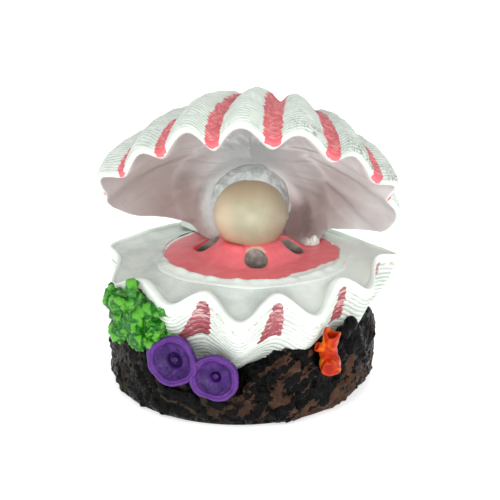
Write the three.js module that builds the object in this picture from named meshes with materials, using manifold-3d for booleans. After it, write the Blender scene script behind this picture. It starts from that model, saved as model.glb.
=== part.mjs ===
// Clam-shell bubbling ornament for an aquarium: an open scalloped clam on a round rock, with a pearl in
// its mouth. Air enters a barbed connector at the back of the rock, passes a short hose to an air stone in
// the chamber under the pink mantle, and leaves as bubbles through three holes around the pearl.
// Units are millimetres. +Z is up, -Y is the front, and the origin is the centre of the rock's flat underside.
import * as THREE from "three";
import { mergeVertices } from "three/addons/utils/BufferGeometryUtils.js";
import Module from "manifold-3d";

const wasm = await Module();
wasm.setup();

// ---- Driving dimensions ----
const GLUE_GAP = 0.3; // between castings that are bonded together
const PER_WAVE = 3; // facets between a rib and the next groove

// The pieces are laid out about the shell's middle, and the whole is then moved to put the rock over the
// origin.
const ROCK = {
  x: -2.2,
  radius: 37.4,
  footRadius: 35.4,
  footX: -1, // how far the foot stands to the left of the rest
  crown: 0.6, // how far the middle of the top stands above its edge
  // Height of the rock's top edge at each azimuth from the front, in degrees.
  edge: [
    [-180, 24], [-135, 22], [-95, 20.5], [-70, 23.5], [-50, 18.5], [-32, 12.5], [-4, 9.5], [6, 14.5],
    [22, 20], [46, 20.5], [60, 24.8], [72, 24.4], [95, 20], [135, 21.5],
  ],
};
const LOWER = {
  y: -4,
  halfWidth: 38.4,
  halfDepth: 32.6,
  bottom: [-12, -2, 7], // where the ribs meet
  fullness: 0.85, // lower is a squarer wall
  lip: 3.2, // thickness at the lip
  // The lip's ribs and grooves by turns: azimuth from the front in degrees, reach, height.
  rim: [
    [-4, 1.07, 31.2], [12.5, 0.905, 37], [27, 1.045, 31.5], [48.5, 0.865, 37.6], [58, 1.015, 34.3],
    [88, 0.92, 37.4], [99.5, 1.09, 35.7], [116, 1, 35.5], [131, 1.04, 34.7], [146, 1, 35.9],
    [161, 1.03, 36], [176, 1, 36.8], [191, 1.03, 36.5], [205, 1, 37.2], [220, 1.04, 36.7], [235, 1, 37.3],
    [250.5, 1.095, 36.4], [269, 0.96, 36.8], [290.5, 1.05, 34], [306, 0.965, 37.2], [326, 1.03, 33.6],
    [339.5, 0.91, 37.2],
  ],
};
const MANTLE = {
  x: 0.5,
  y: 0.4,
  halfWidth: 25.6,
  halfDepth: 22.4,
  top: 37,
  dome: 0.5,
  thickness: 4,
  ledge: 4.2, // how far the mantle's edge lies on the bowl
};
const PEARL = { x: 0.2, y: 2.1, z: 47.9, radius: 10.4 };
const BOSS = { top: 40.9, topRadius: 8.2, footRadius: 14.8 };
const HOLES = { diameter: 6.2, fromPearl: 12, azimuths: [-83, -10, 181] };
const UPPER = {
  hingeY: 18,
  hingeZ: 36,
  tilt: 48, // of the rim's plane above the horizontal, in degrees
  umbo: [11, 18, 26.8], // across, from the hinge, above the rim's plane
  hollow: 18.5, // height of the inner dome above the rim's plane
  sink: 0.16, // share of the dome's height lost towards the right
  lip: 3.6,
  // The lip's ribs and grooves by turns: across, from the hinge, above the rim's plane.
  rim: [
    [3, 0, 2], [-6, 1, 1.5], [-13, 4, 1], [-19.5, 8, 0.3], [-26, 10.8, 0.4], [-33.4, 13, -0.2],
    [-40.2, 18.4, 0], [-41, 26.2, -0.6], [-41.9, 33.5, 0.6], [-35, 41, -2.9], [-30.7, 45.5, 1.6],
    [-24, 51.9, -2.9], [-17.6, 55.2, 2.9], [-10.1, 56.2, -2.9], [-2.7, 57.8, 2.9], [6.1, 57.2, -2.9],
    [14.2, 53.6, 2.9], [22.7, 49.8, -2.9], [29.4, 41.8, 2.9], [34.9, 37.7, -2.9], [41, 29, 0.6],
    [39.4, 23, -0.4], [42.5, 14, -0.7], [39.5, 7.5, -2.4], [33, 4, -0.2], [25, 3, 0.5], [16, 1, 1.5],
    [9, 0, 2],
  ],
};
// The upper valve's foot: lumps of x, y, z and their three radii.
const FOOT = {
  z: 37.6,
  lumps: [[3, 18.5, 38, 19, 8.6, 10], [15.5, 11, 38, 7, 7.4, 7.5], [-12.5, 13.5, 38, 5, 4.4, 6.5]],
};
const AIR = { z: 18.5, hoseOuter: 6, hoseInner: 5.2, stem: 4.6, bore: 2.6, body: 8.2, tunnel: 8.8 };
const AIR_Y = {
  stoneFront: -9,
  stoneBack: 9,
  hoseFront: 10.4,
  hoseBack: 30.2,
  bodyFront: 31,
  bodyBack: 38.6,
  tip: 46,
};
const STONE_DIAMETER = 10.4;
const POLYPS = {
  left: { at: [-20.2, -33, 18.6], turn: -24, raise: 8, radius: 7.5 },
  right: { at: [-9.2, -36.8, 15.4], turn: -12, raise: 8, radius: 6.9 },
};

const rad = THREE.MathUtils.degToRad;
const smooth = THREE.MathUtils.smoothstep;

// ---- Solids ----
function toSolid(geometry, matrix = new THREE.Matrix4()) {
  const bare = (geometry.index ? geometry.toNonIndexed() : geometry).clone().applyMatrix4(matrix);
  bare.deleteAttribute("normal");
  bare.deleteAttribute("uv");
  const merged = mergeVertices(bare, 1e-4);
  return new wasm.Manifold(
    new wasm.Mesh({
      numProp: 3,
      vertProperties: merged.attributes.position.array,
      triVerts: new Uint32Array(merged.index.array),
    }),
  );
}

function toGeometry(solid) {
  const mesh = solid.getMesh();
  const geometry = new THREE.BufferGeometry();
  geometry.setAttribute("position", new THREE.BufferAttribute(new Float32Array(mesh.vertProperties), 3));
  geometry.setIndex(new THREE.BufferAttribute(new Uint32Array(mesh.triVerts), 1));
  geometry.computeVertexNormals();
  return geometry;
}

// A closed body from rings of points: the first and the last ring hold one point each, and close its ends.
function ringBody(rings) {
  const position = [];
  const starts = [];
  for (const ring of rings) {
    starts.push(position.length / 3);
    ring.forEach((p) => position.push(p.x, p.y, p.z));
  }
  const index = [];
  for (let r = 0; r + 1 < rings.length; r++) {
    const [a, b] = [starts[r], starts[r + 1]];
    const [m, n] = [rings[r].length, rings[r + 1].length];
    for (let i = 0; i < Math.max(m, n); i++) {
      const j = (i + 1) % Math.max(m, n);
      if (m === 1) index.push(a, b + j, b + i);
      else if (n === 1) index.push(a + i, a + j, b);
      else index.push(a + i, a + j, b + j, a + i, b + j, b + i);
    }
  }
  const geometry = new THREE.BufferGeometry();
  geometry.setAttribute("position", new THREE.Float32BufferAttribute(position, 3));
  geometry.setIndex(index);
  return geometry;
}

// Points around a closed body, at azimuths from the front in degrees.
const ROUND = Array.from({ length: 60 }, (_, i) => i * 6);
const ring = (point) => ROUND.map(point);

function place(x, y, z, rx = 0, ry = 0, rz = 0, sx = 1, sy = 1, sz = 1) {
  const turn = new THREE.Quaternion().setFromEuler(new THREE.Euler(rx, ry, rz));
  return new THREE.Matrix4().compose(new THREE.Vector3(x, y, z), turn, new THREE.Vector3(sx, sy, sz));
}

function ellipsoid(x, y, z, rx, ry, rz, across) {
  return toSolid(new THREE.SphereGeometry(1, across, across / 2), place(x, y, z, 0, 0, 0, rx, ry, rz));
}

function ball(x, y, z, radius, across) {
  return ellipsoid(x, y, z, radius, radius, radius, across);
}

// A round bar along +Z from z0 to z1.
function upright(x, y, z0, z1, radius) {
  const bar = new THREE.CylinderGeometry(radius, radius, z1 - z0, 24);
  return toSolid(bar, place(x, y, (z0 + z1) / 2, Math.PI / 2));
}

// A round bar along Y at the air line's height.
function airBar(y0, y1, radius) {
  const bar = new THREE.CylinderGeometry(radius, radius, y1 - y0, 24);
  return toSolid(bar, place(0, (y0 + y1) / 2, AIR.z));
}

const union = (solids) => solids.reduce((a, b) => a.add(b));
const without = (solid, cutters) => cutters.reduce((a, b) => a.subtract(b), solid);

// The largest body of a solid, which drops the crumbs that a cut leaves.
function largest(solid) {
  return solid.decompose().reduce((a, b) => (b.volume() > a.volume() ? b : a));
}

// ---- Scalloped lips ----
// A closed curve through a lip's ribs and grooves. Turns count them: 0 is a rib, 1 the next groove, and so on.
class Lip {
  constructor(points) {
    this.curve = new THREE.CatmullRomCurve3(points, true, "catmullrom", 0.5);
    this.count = points.length;
    this.turns = Array.from({ length: this.count * PER_WAVE }, (_, i) => i / PER_WAVE);
  }

  at(turn) {
    return this.curve.getPoint((((turn / this.count) % 1) + 1) % 1);
  }

  // The lip with its waves evened out.
  even(turn) {
    return this.at(turn - 0.5).lerp(this.at(turn + 0.5), 0.5);
  }

  // The lip's wave alone, as a move away from the evened lip.
  wave(turn) {
    return this.at(turn).sub(this.even(turn));
  }

  ring(point) {
    return this.turns.map(point);
  }
}

// ---- Lower valve: a scalloped bowl ----
const lowerLip = new Lip(
  LOWER.rim.map(([azimuth, reach, z]) => {
    const x = LOWER.halfWidth * reach * Math.sin(rad(azimuth));
    return new THREE.Vector3(x, LOWER.y - LOWER.halfDepth * reach * Math.cos(rad(azimuth)), z);
  }),
);
const SLOPES = [78, 62, 48, 36, 25, 15, 7];

// A level move of a point away from the middle of the bowl.
function outwards(point, distance) {
  const away = new THREE.Vector3(point.x, point.y - LOWER.y, 0).normalize();
  return point.clone().addScaledVector(away, distance);
}

// Outer wall at a slope angle from 0 at the lip to 90 at the bottom; grow moves it outwards.
function lowerOuter(turn, slope, grow) {
  const fall = Math.sin(rad(slope));
  const share = Math.cos(rad(slope)) ** LOWER.fullness;
  const [bx, by, bz] = LOWER.bottom;
  const even = lowerLip.even(turn);
  const wave = lowerLip.wave(turn).multiplyScalar(1 - 0.7 * fall);
  const x = bx + (even.x - bx) * share + wave.x * share;
  const y = by + (even.y - by) * share + wave.y * share;
  const z = even.z + (bz - even.z) * fall + wave.z * (1 - fall);
  return outwards(new THREE.Vector3(x, y, z - grow * fall), grow);
}

function lowerOutside(grow) {
  const bottom = new THREE.Vector3(...LOWER.bottom).setZ(LOWER.bottom[2] - grow);
  return [[bottom], ...[...SLOPES, 0].map((slope) => lowerLip.ring((t) => lowerOuter(t, slope, grow)))];
}

// The lower valve's outside as a plain solid, closed across its lip, for cutting what stands around it.
function lowerPlug() {
  const over = lowerLip.ring((t) => lowerOuter(t, 0, GLUE_GAP).add(new THREE.Vector3(0, 0, 1)));
  const lid = new THREE.Vector3(0, LOWER.y, 42);
  return toSolid(ringBody([...lowerOutside(GLUE_GAP), over, [lid]]));
}

function onMantleEdge(angle, inset, z) {
  const x = MANTLE.x + (MANTLE.halfWidth - inset) * Math.sin(rad(angle));
  const y = MANTLE.y - (MANTLE.halfDepth - inset) * Math.cos(rad(angle));
  return new THREE.Vector3(x, y, z);
}

// The bowl's inside, from the lip to the ledge that the mantle sits on, and down to the air chamber's floor.
function lowerInside() {
  const azimuth = (turn) => {
    const p = lowerLip.even(turn);
    return THREE.MathUtils.radToDeg(Math.atan2(p.x / LOWER.halfWidth, (LOWER.y - p.y) / LOWER.halfDepth));
  };
  const border = (inset, z) => lowerLip.ring((t) => onMantleEdge(azimuth(t), inset, z));
  const lip = (inset, drop) => (t) => outwards(lowerLip.at(t), -inset).add(new THREE.Vector3(0, 0, -drop));
  const scoop = (t) => {
    const middle = lip(LOWER.lip, 0.5)(t).lerp(onMantleEdge(azimuth(t), -2.6, MANTLE.top - 0.2), 0.5);
    return middle.setZ(middle.z + 0.22 * lowerLip.wave(t).z);
  };
  const seat = MANTLE.top - MANTLE.thickness - GLUE_GAP;
  const floorZ = AIR.z - STONE_DIAMETER / 2 - 1.4;
  return [
    lowerLip.ring(lip(LOWER.lip * 0.5, -0.4)),
    lowerLip.ring(lip(LOWER.lip, 0.4)),
    lowerLip.ring(scoop),
    border(-2.6, MANTLE.top - 0.2),
    border(-1.2, MANTLE.top + 0.3),
    border(-GLUE_GAP, MANTLE.top - 0.3),
    border(-GLUE_GAP, seat),
    border(MANTLE.ledge, seat),
    border(MANTLE.ledge + 0.6, 26),
    border(9.5, 18),
    border(13.5, floorZ),
    [new THREE.Vector3(MANTLE.x, MANTLE.y, floorZ)],
  ];
}

function lowerValve() {
  const bowl = toSolid(ringBody([...lowerOutside(0), ...lowerInside()]));
  const hoseHole = airBar(4, 60, AIR.hoseOuter / 2 + GLUE_GAP);
  return largest(without(bowl, [hoseHole, upperValve(GLUE_GAP)]));
}

// ---- Mantle: the flesh, a lid over the air chamber with three bubble holes ----
function mantle() {
  const under = MANTLE.top - MANTLE.thickness;
  const rings = [
    [new THREE.Vector3(MANTLE.x, MANTLE.y, under)],
    ring((a) => onMantleEdge(a, 8, under)),
    ring((a) => onMantleEdge(a, 0, under)),
    ring((a) => onMantleEdge(a, 0, MANTLE.top - 0.8)),
    ring((a) => onMantleEdge(a, 0.9, MANTLE.top - 0.1)),
    ring((a) => onMantleEdge(a, 9, MANTLE.top + MANTLE.dome * 0.7)),
    [new THREE.Vector3(MANTLE.x, MANTLE.y, MANTLE.top + MANTLE.dome)],
  ];
  const boss = new THREE.CylinderGeometry(BOSS.topRadius, BOSS.footRadius, BOSS.top - MANTLE.top + 1, 40);
  const bossAt = place(PEARL.x, PEARL.y, (BOSS.top + MANTLE.top - 1) / 2, Math.PI / 2);
  const solid = toSolid(ringBody(rings)).add(toSolid(boss, bossAt));
  const holes = holeCentres().map(([x, y]) => upright(x, y, under - 2, BOSS.top + 4, HOLES.diameter / 2));
  return largest(without(solid, [...holes, pearlSpace(), upperValve(GLUE_GAP)]));
}

function holeCentres() {
  return HOLES.azimuths.map((a) => [
    PEARL.x + HOLES.fromPearl * Math.cos(rad(a)),
    PEARL.y + HOLES.fromPearl * Math.sin(rad(a)),
  ]);
}

function pearlSpace() {
  return ball(PEARL.x, PEARL.y, PEARL.z, PEARL.radius + GLUE_GAP, 32);
}

function pearl() {
  return ball(PEARL.x, PEARL.y, PEARL.z, PEARL.radius, 28);
}

// ---- Upper valve: a domed fan, tilted open about its hinge ----
const upperLip = new Lip(UPPER.rim.map((p) => new THREE.Vector3(...p)));
const REACHES = [0.2, 0.4, 0.58, 0.73, 0.85, 0.94, 1];

// A point from its place across the rim's plane, its distance from the hinge and its height above the plane.
function tilted({ x, y: fromHinge, z: height }) {
  const [s, c] = [Math.sin(rad(UPPER.tilt)), Math.cos(rad(UPPER.tilt))];
  const y = UPPER.hingeY - fromHinge * c + height * s;
  return new THREE.Vector3(x, y, UPPER.hingeZ + fromHinge * s + height * c);
}

// A point on the dome, v from 0 at the umbo to 1 at the lip; inset draws the lip in.
function upperPoint(turn, v, top, inset, waves) {
  const [ux, ud] = UPPER.umbo;
  const even = upperLip.even(turn);
  const across = new THREE.Vector3(even.x, even.y - 28, 0);
  even.addScaledVector(across.normalize(), -inset);
  const point = new THREE.Vector3(ux + (even.x - ux) * v, ud + (even.y - ud) * v, 0);
  const sunk = 1 - UPPER.sink * smooth(point.x, 2, 42);
  point.z = even.z * v + top * sunk * Math.max(0, 1 - v ** 2.3) ** 0.6;
  return tilted(point.addScaledVector(upperLip.wave(turn), waves));
}

function upperShell(grow) {
  const [ux, ud, top] = UPPER.umbo;
  const outer = REACHES.map((v) => upperLip.ring((t) => upperPoint(t, v, top + grow, -grow, v ** 1.3)));
  const inner = REACHES.map((v) =>
    upperLip.ring((t) => {
      const p = upperPoint(t, v, UPPER.hollow - grow, UPPER.lip + grow, 0.2 * v + 0.8 * v ** 3);
      return p.sub(new THREE.Vector3(0, 0, 1.2 * v + grow));
    }),
  );
  const summit = tilted({ x: ux, y: ud, z: top + grow });
  const ceiling = tilted({ x: ux, y: ud, z: UPPER.hollow - grow });
  return toSolid(ringBody([[ceiling], ...inner, ...outer.reverse(), [summit]]));
}

function upperValve(grow = 0) {
  const lumps = FOOT.lumps.map(([x, y, z, a, b, c]) => ellipsoid(x, y, z, a + grow, b + grow, c + grow, 18));
  const below = toSolid(new THREE.BoxGeometry(140, 140, 40), place(0, 0, FOOT.z - grow - 20));
  return largest(without(union([upperShell(grow), ...lumps]), [below, pearlSpace()]));
}

// The bead of filler that beds the pearl against the upper valve.
function pearlBedding() {
  const lump = ellipsoid(PEARL.x, PEARL.y + 5, PEARL.z + 2, 12, 9.4, 11.6, 22);
  const base = toSolid(new THREE.BoxGeometry(80, 80, 40), place(0, 0, BOSS.top + GLUE_GAP - 20));
  return largest(without(lump, [pearlSpace(), upperValve(GLUE_GAP), base]));
}

// ---- Rock base ----
function rockEdge(azimuth) {
  const points = ROCK.edge;
  const angle = azimuth >= 180 ? azimuth - 360 : azimuth;
  const k = points.findLastIndex(([a]) => a <= angle);
  const [a0, h0] = points[k];
  const [a1, h1] = k + 1 < points.length ? points[k + 1] : [points[0][0] + 360, points[0][1]];
  return h0 + (h1 - h0) * smooth(angle, a0, a1);
}

function rockRough(angle, z) {
  const a = rad(angle);
  return 0.5 * Math.sin(5 * a + 0.3 * z) + 0.35 * Math.sin(11 * a - 0.5 * z) + 0.25 * Math.sin(17 * a + 0.9 * z);
}

function rockRing(radius, share, lift, grow, x = ROCK.x) {
  return ring((a) => {
    const z = rockEdge(a) * share + lift;
    const r = radius + rockRough(a, z) * smooth(z, 0, 4) + grow;
    return new THREE.Vector3(x + r * Math.sin(rad(a)), -r * Math.cos(rad(a)), z + grow * (z > 0 ? 1 : 0));
  });
}

function rockBlock(grow = 0) {
  return toSolid(
    ringBody([
      [new THREE.Vector3(ROCK.x, 0, 0)],
      rockRing(ROCK.footRadius, 0, 0, grow, ROCK.x + ROCK.footX),
      rockRing(ROCK.radius, 0, 4.5, grow),
      rockRing(ROCK.radius, 0.6, 0, grow),
      rockRing(ROCK.radius - 1.4, 0.94, 0, grow),
      rockRing(ROCK.radius - 4, 1, 0, grow),
      rockRing(ROCK.radius - 12, 1, ROCK.crown, grow),
      [new THREE.Vector3(ROCK.x, 0, 24)],
    ]),
  );
}

function rockBase() {
  const tunnel = airBar(6, 60, AIR.tunnel / 2);
  return largest(without(rockBlock(), [lowerPlug(), tunnel]));
}

// ---- Decorations on the front of the rock ----
// Everything that a decoration is bonded to, grown by the glue gap.
function bonded() {
  return [rockBlock(GLUE_GAP), lowerPlug()];
}

// Knobbly coral: a heap of knobs, with two fingers standing up and one pointing to the right.
const CORAL_KNOBS = [
  [-35.2, -22.5, 31.6, 3.2], [-30.6, -25.2, 32.4, 2.9], [-27, -27.4, 30.6, 3.1], [-35.6, -21.6, 27.8, 3],
  [-30.8, -25.6, 27.4, 4.4], [-25.4, -28.8, 25.8, 3.2], [-34.8, -23.6, 23.4, 3.4], [-30, -27.8, 22.6, 3.5],
  [-25.4, -29.8, 22.4, 2.6],
];
const CORAL_FINGERS = [
  [-38, -20.8, 32.8, 4.4, 1.2, 0.25], [-31.8, -24.4, 35.8, 2.6, 1.5, -0.1], [-25, -31, 31, 3, 1.3, -0.9],
];

function greenCoral() {
  const knobs = CORAL_KNOBS.map(([x, y, z, r]) => {
    return toSolid(new THREE.IcosahedronGeometry(r, 1), place(x, y, z, x, y, z));
  });
  const fingers = CORAL_FINGERS.map(([x, y, z, length, radius, lean]) => {
    return toSolid(new THREE.CapsuleGeometry(radius, length, 2, 8), place(x, y, z, Math.PI / 2, lean, 0));
  });
  return largest(without(union([...knobs, ...fingers]), [...bonded(), polypSpace(POLYPS.left)]));
}

// The move that stands a body with its own axis along Y at a point, with the axis along a direction.
function stand(point, direction) {
  const up = new THREE.Vector3(0, 1, 0);
  const rotation = new THREE.Quaternion().setFromUnitVectors(up, direction.clone().normalize());
  return new THREE.Matrix4().compose(point, rotation, new THREE.Vector3(1, 1, 1));
}

// A body of revolution that faces outwards from the rock: each profile point is [radius, reach outwards].
function facing(at, turn, raise, points) {
  const towards = new THREE.Vector3(Math.sin(rad(turn)), -Math.cos(rad(turn)), Math.tan(rad(raise)));
  const profile = points.map(([r, h]) => new THREE.Vector2(r, h));
  return toSolid(new THREE.LatheGeometry(profile, 24), stand(new THREE.Vector3(...at), towards));
}

// An open cup with a button in the middle, standing on a short stem that the rock takes.
function polyp({ at, turn, raise, radius }) {
  return facing(at, turn, raise, [
    [0, -5], [3.4, -5], [4.6, -1.5], [radius - 0.9, 0.4], [radius, 1.8], [radius - 0.3, 2.9],
    [radius - 1.3, 2.8], [radius - 2.4, 1.7], [3, 0], [1.9, -0.5], [1.6, 0.3], [0, 0.6],
  ]);
}

// The room that a polyp takes out of its neighbours.
function polypSpace({ at, turn, raise, radius }) {
  return facing(at, turn, raise, [
    [0, -5.5], [3.9, -5.5], [5.1, -1.8], [radius - 0.4, 0.1], [radius + 0.4, 1.8], [radius + 0.1, 3.4], [0, 3.4],
  ]);
}

function polypLeft() {
  return largest(without(polyp(POLYPS.left), bonded()));
}

function polypRight() {
  return largest(without(polyp(POLYPS.right), [...bonded(), polypSpace(POLYPS.left)]));
}

// An open-mouthed tube of sponge from its root to its mouth.
function spongeTube(root, mouth, radius) {
  const [from, to] = [new THREE.Vector3(...root), new THREE.Vector3(...mouth)];
  const along = to.clone().sub(from);
  const wall = new THREE.CylinderGeometry(radius, radius * 0.75, along.length(), 16);
  const bore = new THREE.CylinderGeometry(radius * 0.62, radius * 0.45, 3, 12);
  const middle = from.clone().lerp(to, 0.5);
  return toSolid(wall, stand(middle, along)).subtract(toSolid(bore, stand(to, along)));
}

// A sponge with three tubes: a tall one, a small one to its left, and a fat one that faces forwards below.
function orangeSponge() {
  const tubes = [
    spongeTube([21.2, -30.4, 18.5], [22.4, -31.6, 26.2], 2.4),
    spongeTube([21.2, -30.6, 20.2], [17.6, -32, 22.4], 1.5),
    spongeTube([21.6, -29.6, 18.4], [21.7, -34.2, 16.4], 2.7),
  ];
  const lumps = [ellipsoid(21.4, -30.2, 19.4, 3.2, 3, 4.2, 14), ellipsoid(21.6, -30.8, 17.4, 3, 3, 3.6, 14)];
  return largest(without(union([...tubes, ...lumps]), bonded()));
}

// ---- Air line ----
// A body of revolution about the air line; each point is [radius, y].
function airTurned(points) {
  const profile = [...points, points[0]].map(([r, y]) => new THREE.Vector2(r, y));
  return toSolid(new THREE.LatheGeometry(profile, 24), place(0, 0, AIR.z));
}

function airInlet() {
  const { stem, bore, body } = AIR;
  const { hoseBack, bodyFront, bodyBack, tip } = AIR_Y;
  return airTurned([
    [bore / 2, hoseBack - 6], [stem / 2, hoseBack - 6], [stem / 2, bodyFront], [body / 2, bodyFront],
    [body / 2, bodyBack], [stem / 2, bodyBack], [stem / 2, tip - 4.2], [stem / 2 + 0.5, tip - 3.6],
    [stem / 2 - 0.3, tip], [bore / 2, tip],
  ]);
}

function innerHose() {
  const { hoseOuter, hoseInner } = AIR;
  const { hoseFront, hoseBack } = AIR_Y;
  return airTurned([
    [hoseInner / 2, hoseFront], [hoseOuter / 2, hoseFront], [hoseOuter / 2, hoseBack],
    [hoseInner / 2, hoseBack],
  ]);
}

function stoneNipple() {
  const { stem, bore } = AIR;
  const { stoneBack, hoseFront } = AIR_Y;
  return airTurned([
    [bore / 2, stoneBack - 4], [stem / 2, stoneBack - 4], [stem / 2, stoneBack + GLUE_GAP],
    [4, stoneBack + GLUE_GAP], [4, hoseFront - GLUE_GAP], [stem / 2, hoseFront - GLUE_GAP],
    [stem / 2, hoseFront + 5], [bore / 2, hoseFront + 5],
  ]);
}

function airStone() {
  const { stoneFront, stoneBack } = AIR_Y;
  const socket = airBar(stoneBack - 4 - GLUE_GAP, stoneBack + 1, AIR.stem / 2 + GLUE_GAP);
  return airBar(stoneFront, stoneBack, STONE_DIAMETER / 2).subtract(socket);
}

// ---- Assembly ----
const resin = (color, roughness = 0.5) => new THREE.MeshStandardMaterial({ color, roughness, metalness: 0 });
const shellWhite = resin(0xe6ebe8, 0.45);

const PIECES = [
  ["rock_base", rockBase(), resin(0x33302b, 0.6)],
  ["lower_valve", lowerValve(), shellWhite],
  ["mantle", mantle(), resin(0xd9616c, 0.45)],
  ["pearl", pearl(), resin(0xd8c6a4, 0.25)],
  ["pearl_bedding", pearlBedding(), resin(0xb9c2c2, 0.7)],
  ["upper_valve", upperValve(), shellWhite],
  ["green_coral", greenCoral(), resin(0x3fae1f, 0.35)],
  ["purple_polyp_left", polypLeft(), resin(0x5b2a8c, 0.35)],
  ["purple_polyp_right", polypRight(), resin(0x5b2a8c, 0.35)],
  ["orange_sponge", orangeSponge(), resin(0xf0520a, 0.3)],
  ["air_inlet", airInlet(), resin(0x1f7a5a, 0.4)],
  ["inner_hose", innerHose(), resin(0xd5dfe0, 0.3)],
  ["stone_nipple", stoneNipple(), resin(0x1b1b1b, 0.5)],
  ["air_stone", airStone(), resin(0x8a93a3, 0.95)],
];

const ornament = new THREE.Group();
for (const [name, solid, material] of PIECES) {
  const mesh = new THREE.Mesh(toGeometry(solid), material);
  mesh.name = name;
  mesh.geometry.translate(-ROCK.x, 0, 0);
  ornament.add(mesh);
}

export default ornament;
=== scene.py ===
"""Clam-shell bubbling ornament: detailed pieces, materials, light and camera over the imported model.

Shapes are worked out in millimetres about the shell's middle, as in the part's source, and piece() puts them in
the frame. Paint is laid by distances kept on each mesh: how far a point is from a groove, a lip or an edge.
"""

import math

import bpy
import numpy as np
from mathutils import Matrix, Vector


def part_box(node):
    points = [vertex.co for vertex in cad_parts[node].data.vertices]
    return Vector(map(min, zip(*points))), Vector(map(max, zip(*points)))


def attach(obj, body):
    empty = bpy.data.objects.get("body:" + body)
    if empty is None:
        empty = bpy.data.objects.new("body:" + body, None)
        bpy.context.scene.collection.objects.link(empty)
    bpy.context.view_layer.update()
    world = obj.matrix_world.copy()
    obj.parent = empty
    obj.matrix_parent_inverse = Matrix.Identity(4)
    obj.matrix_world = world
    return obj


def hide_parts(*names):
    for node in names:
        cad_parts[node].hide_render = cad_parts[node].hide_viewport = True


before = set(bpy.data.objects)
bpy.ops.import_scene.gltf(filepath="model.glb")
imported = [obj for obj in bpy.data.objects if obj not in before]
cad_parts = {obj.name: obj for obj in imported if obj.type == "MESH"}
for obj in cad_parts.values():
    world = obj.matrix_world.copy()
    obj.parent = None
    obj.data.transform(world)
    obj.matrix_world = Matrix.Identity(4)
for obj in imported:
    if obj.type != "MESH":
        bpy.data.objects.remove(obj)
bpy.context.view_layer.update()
MM = 0.001
GLUE_GAP = 0.3

# ---- Driving dimensions, as in the part's source ----
ROCK = {
    "x": -2.2,
    "radius": 37.4,
    "foot_radius": 35.4,
    "foot_x": -1,
    "crown": 0.6,
    "edge": [
        (-180, 24), (-135, 22), (-95, 20.5), (-70, 23.5), (-50, 18.5), (-32, 12.5), (-4, 9.5), (6, 14.5),
        (22, 20), (46, 20.5), (60, 24.8), (72, 24.4), (95, 20), (135, 21.5), (180, 24),
    ],
}
LOWER = {
    "y": -4,
    "half_width": 38.4,
    "half_depth": 32.6,
    "bottom": (-12, -2, 7),
    "fullness": 0.85,
    "lip": 3.2,
    "rim": [
        (-4, 1.07, 31.2), (12.5, 0.905, 37), (27, 1.045, 31.5), (48.5, 0.865, 37.6), (58, 1.015, 34.3),
        (88, 0.92, 37.4), (99.5, 1.09, 35.7), (116, 1, 35.5), (131, 1.04, 34.7), (146, 1, 35.9), (161, 1.03, 36),
        (176, 1, 36.8), (191, 1.03, 36.5), (205, 1, 37.2), (220, 1.04, 36.7), (235, 1, 37.3), (250.5, 1.095, 36.4),
        (269, 0.96, 36.8), (290.5, 1.05, 34), (306, 0.965, 37.2), (326, 1.03, 33.6), (339.5, 0.91, 37.2),
    ],
}
MANTLE = {"x": 0.5, "y": 0.4, "half_width": 25.6, "half_depth": 22.4, "top": 37, "dome": 0.5}
PEARL = {"x": 0.2, "y": 2.1, "z": 47.9, "radius": 10.4}
BOSS = {"top": 40.9, "top_radius": 8.2, "foot_radius": 14.8}
HOLES = {"radius": 3.1, "from_pearl": 12, "azimuths": (-83, -10, 181)}
UPPER = {
    "hinge_y": 18,
    "hinge_z": 36,
    "tilt": 48,
    "umbo": (11, 18, 26.8),
    "hollow": 18.5,
    "throat": (2, 17),
    "sink": 0.16,
    "lip": 3.6,
    "rim": [
        (3, 0, 2), (-6, 1, 1.5), (-13, 4, 1), (-19.5, 8, 0.3), (-26, 10.8, 0.4), (-33.4, 13, -0.2), (-40.2, 18.4, 0),
        (-41, 26.2, -0.6), (-41.9, 33.5, 0.6), (-35, 41, -2.9), (-30.7, 45.5, 1.6), (-24, 51.9, -2.9),
        (-17.6, 55.2, 2.9), (-10.1, 56.2, -2.9), (-2.7, 57.8, 2.9), (6.1, 57.2, -2.9), (14.2, 53.6, 2.9),
        (22.7, 49.8, -2.9), (29.4, 41.8, 2.9), (34.9, 37.7, -2.9), (41, 29, 0.6), (39.4, 23, -0.4),
        (42.5, 14, -0.7), (39.5, 7.5, -2.4), (33, 4, -0.2), (25, 3, 0.5), (16, 1, 1.5), (9, 0, 2),
    ],
}
# The upper valve's foot: its mound and lug as a middle and radii, and the radii of the balls along its front.
FOOT = {
    "z": 37.6,
    "mound": ((3, 19, 38), (19, 8, 9.5)),
    "lug": ((18.3, 5.8, 38.6), (0.9, 1.7, 1.6)),
    "skirt": (2.2, 2.6, 2.1),
    "front": [
        (-24, 27), (-20.5, 23), (-18.4, 20), (-16, 17), (-13.6, 14.5), (-10.9, 10.9), (-7, 7), (0, 5), (7, 7),
        (10.9, 8.5), (14.2, 6.1), (17, 3.9), (19.3, 5), (20.8, 9), (21.6, 14), (24, 24),
    ],
}
FILLER = {"behind": 5, "above": 1.6, "radii": (11.5, 9.2, 11.5)}
BORDER = {"width": 3.4, "overlap": 0.75}
CHAMBER_FLOOR = 11.9
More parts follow.
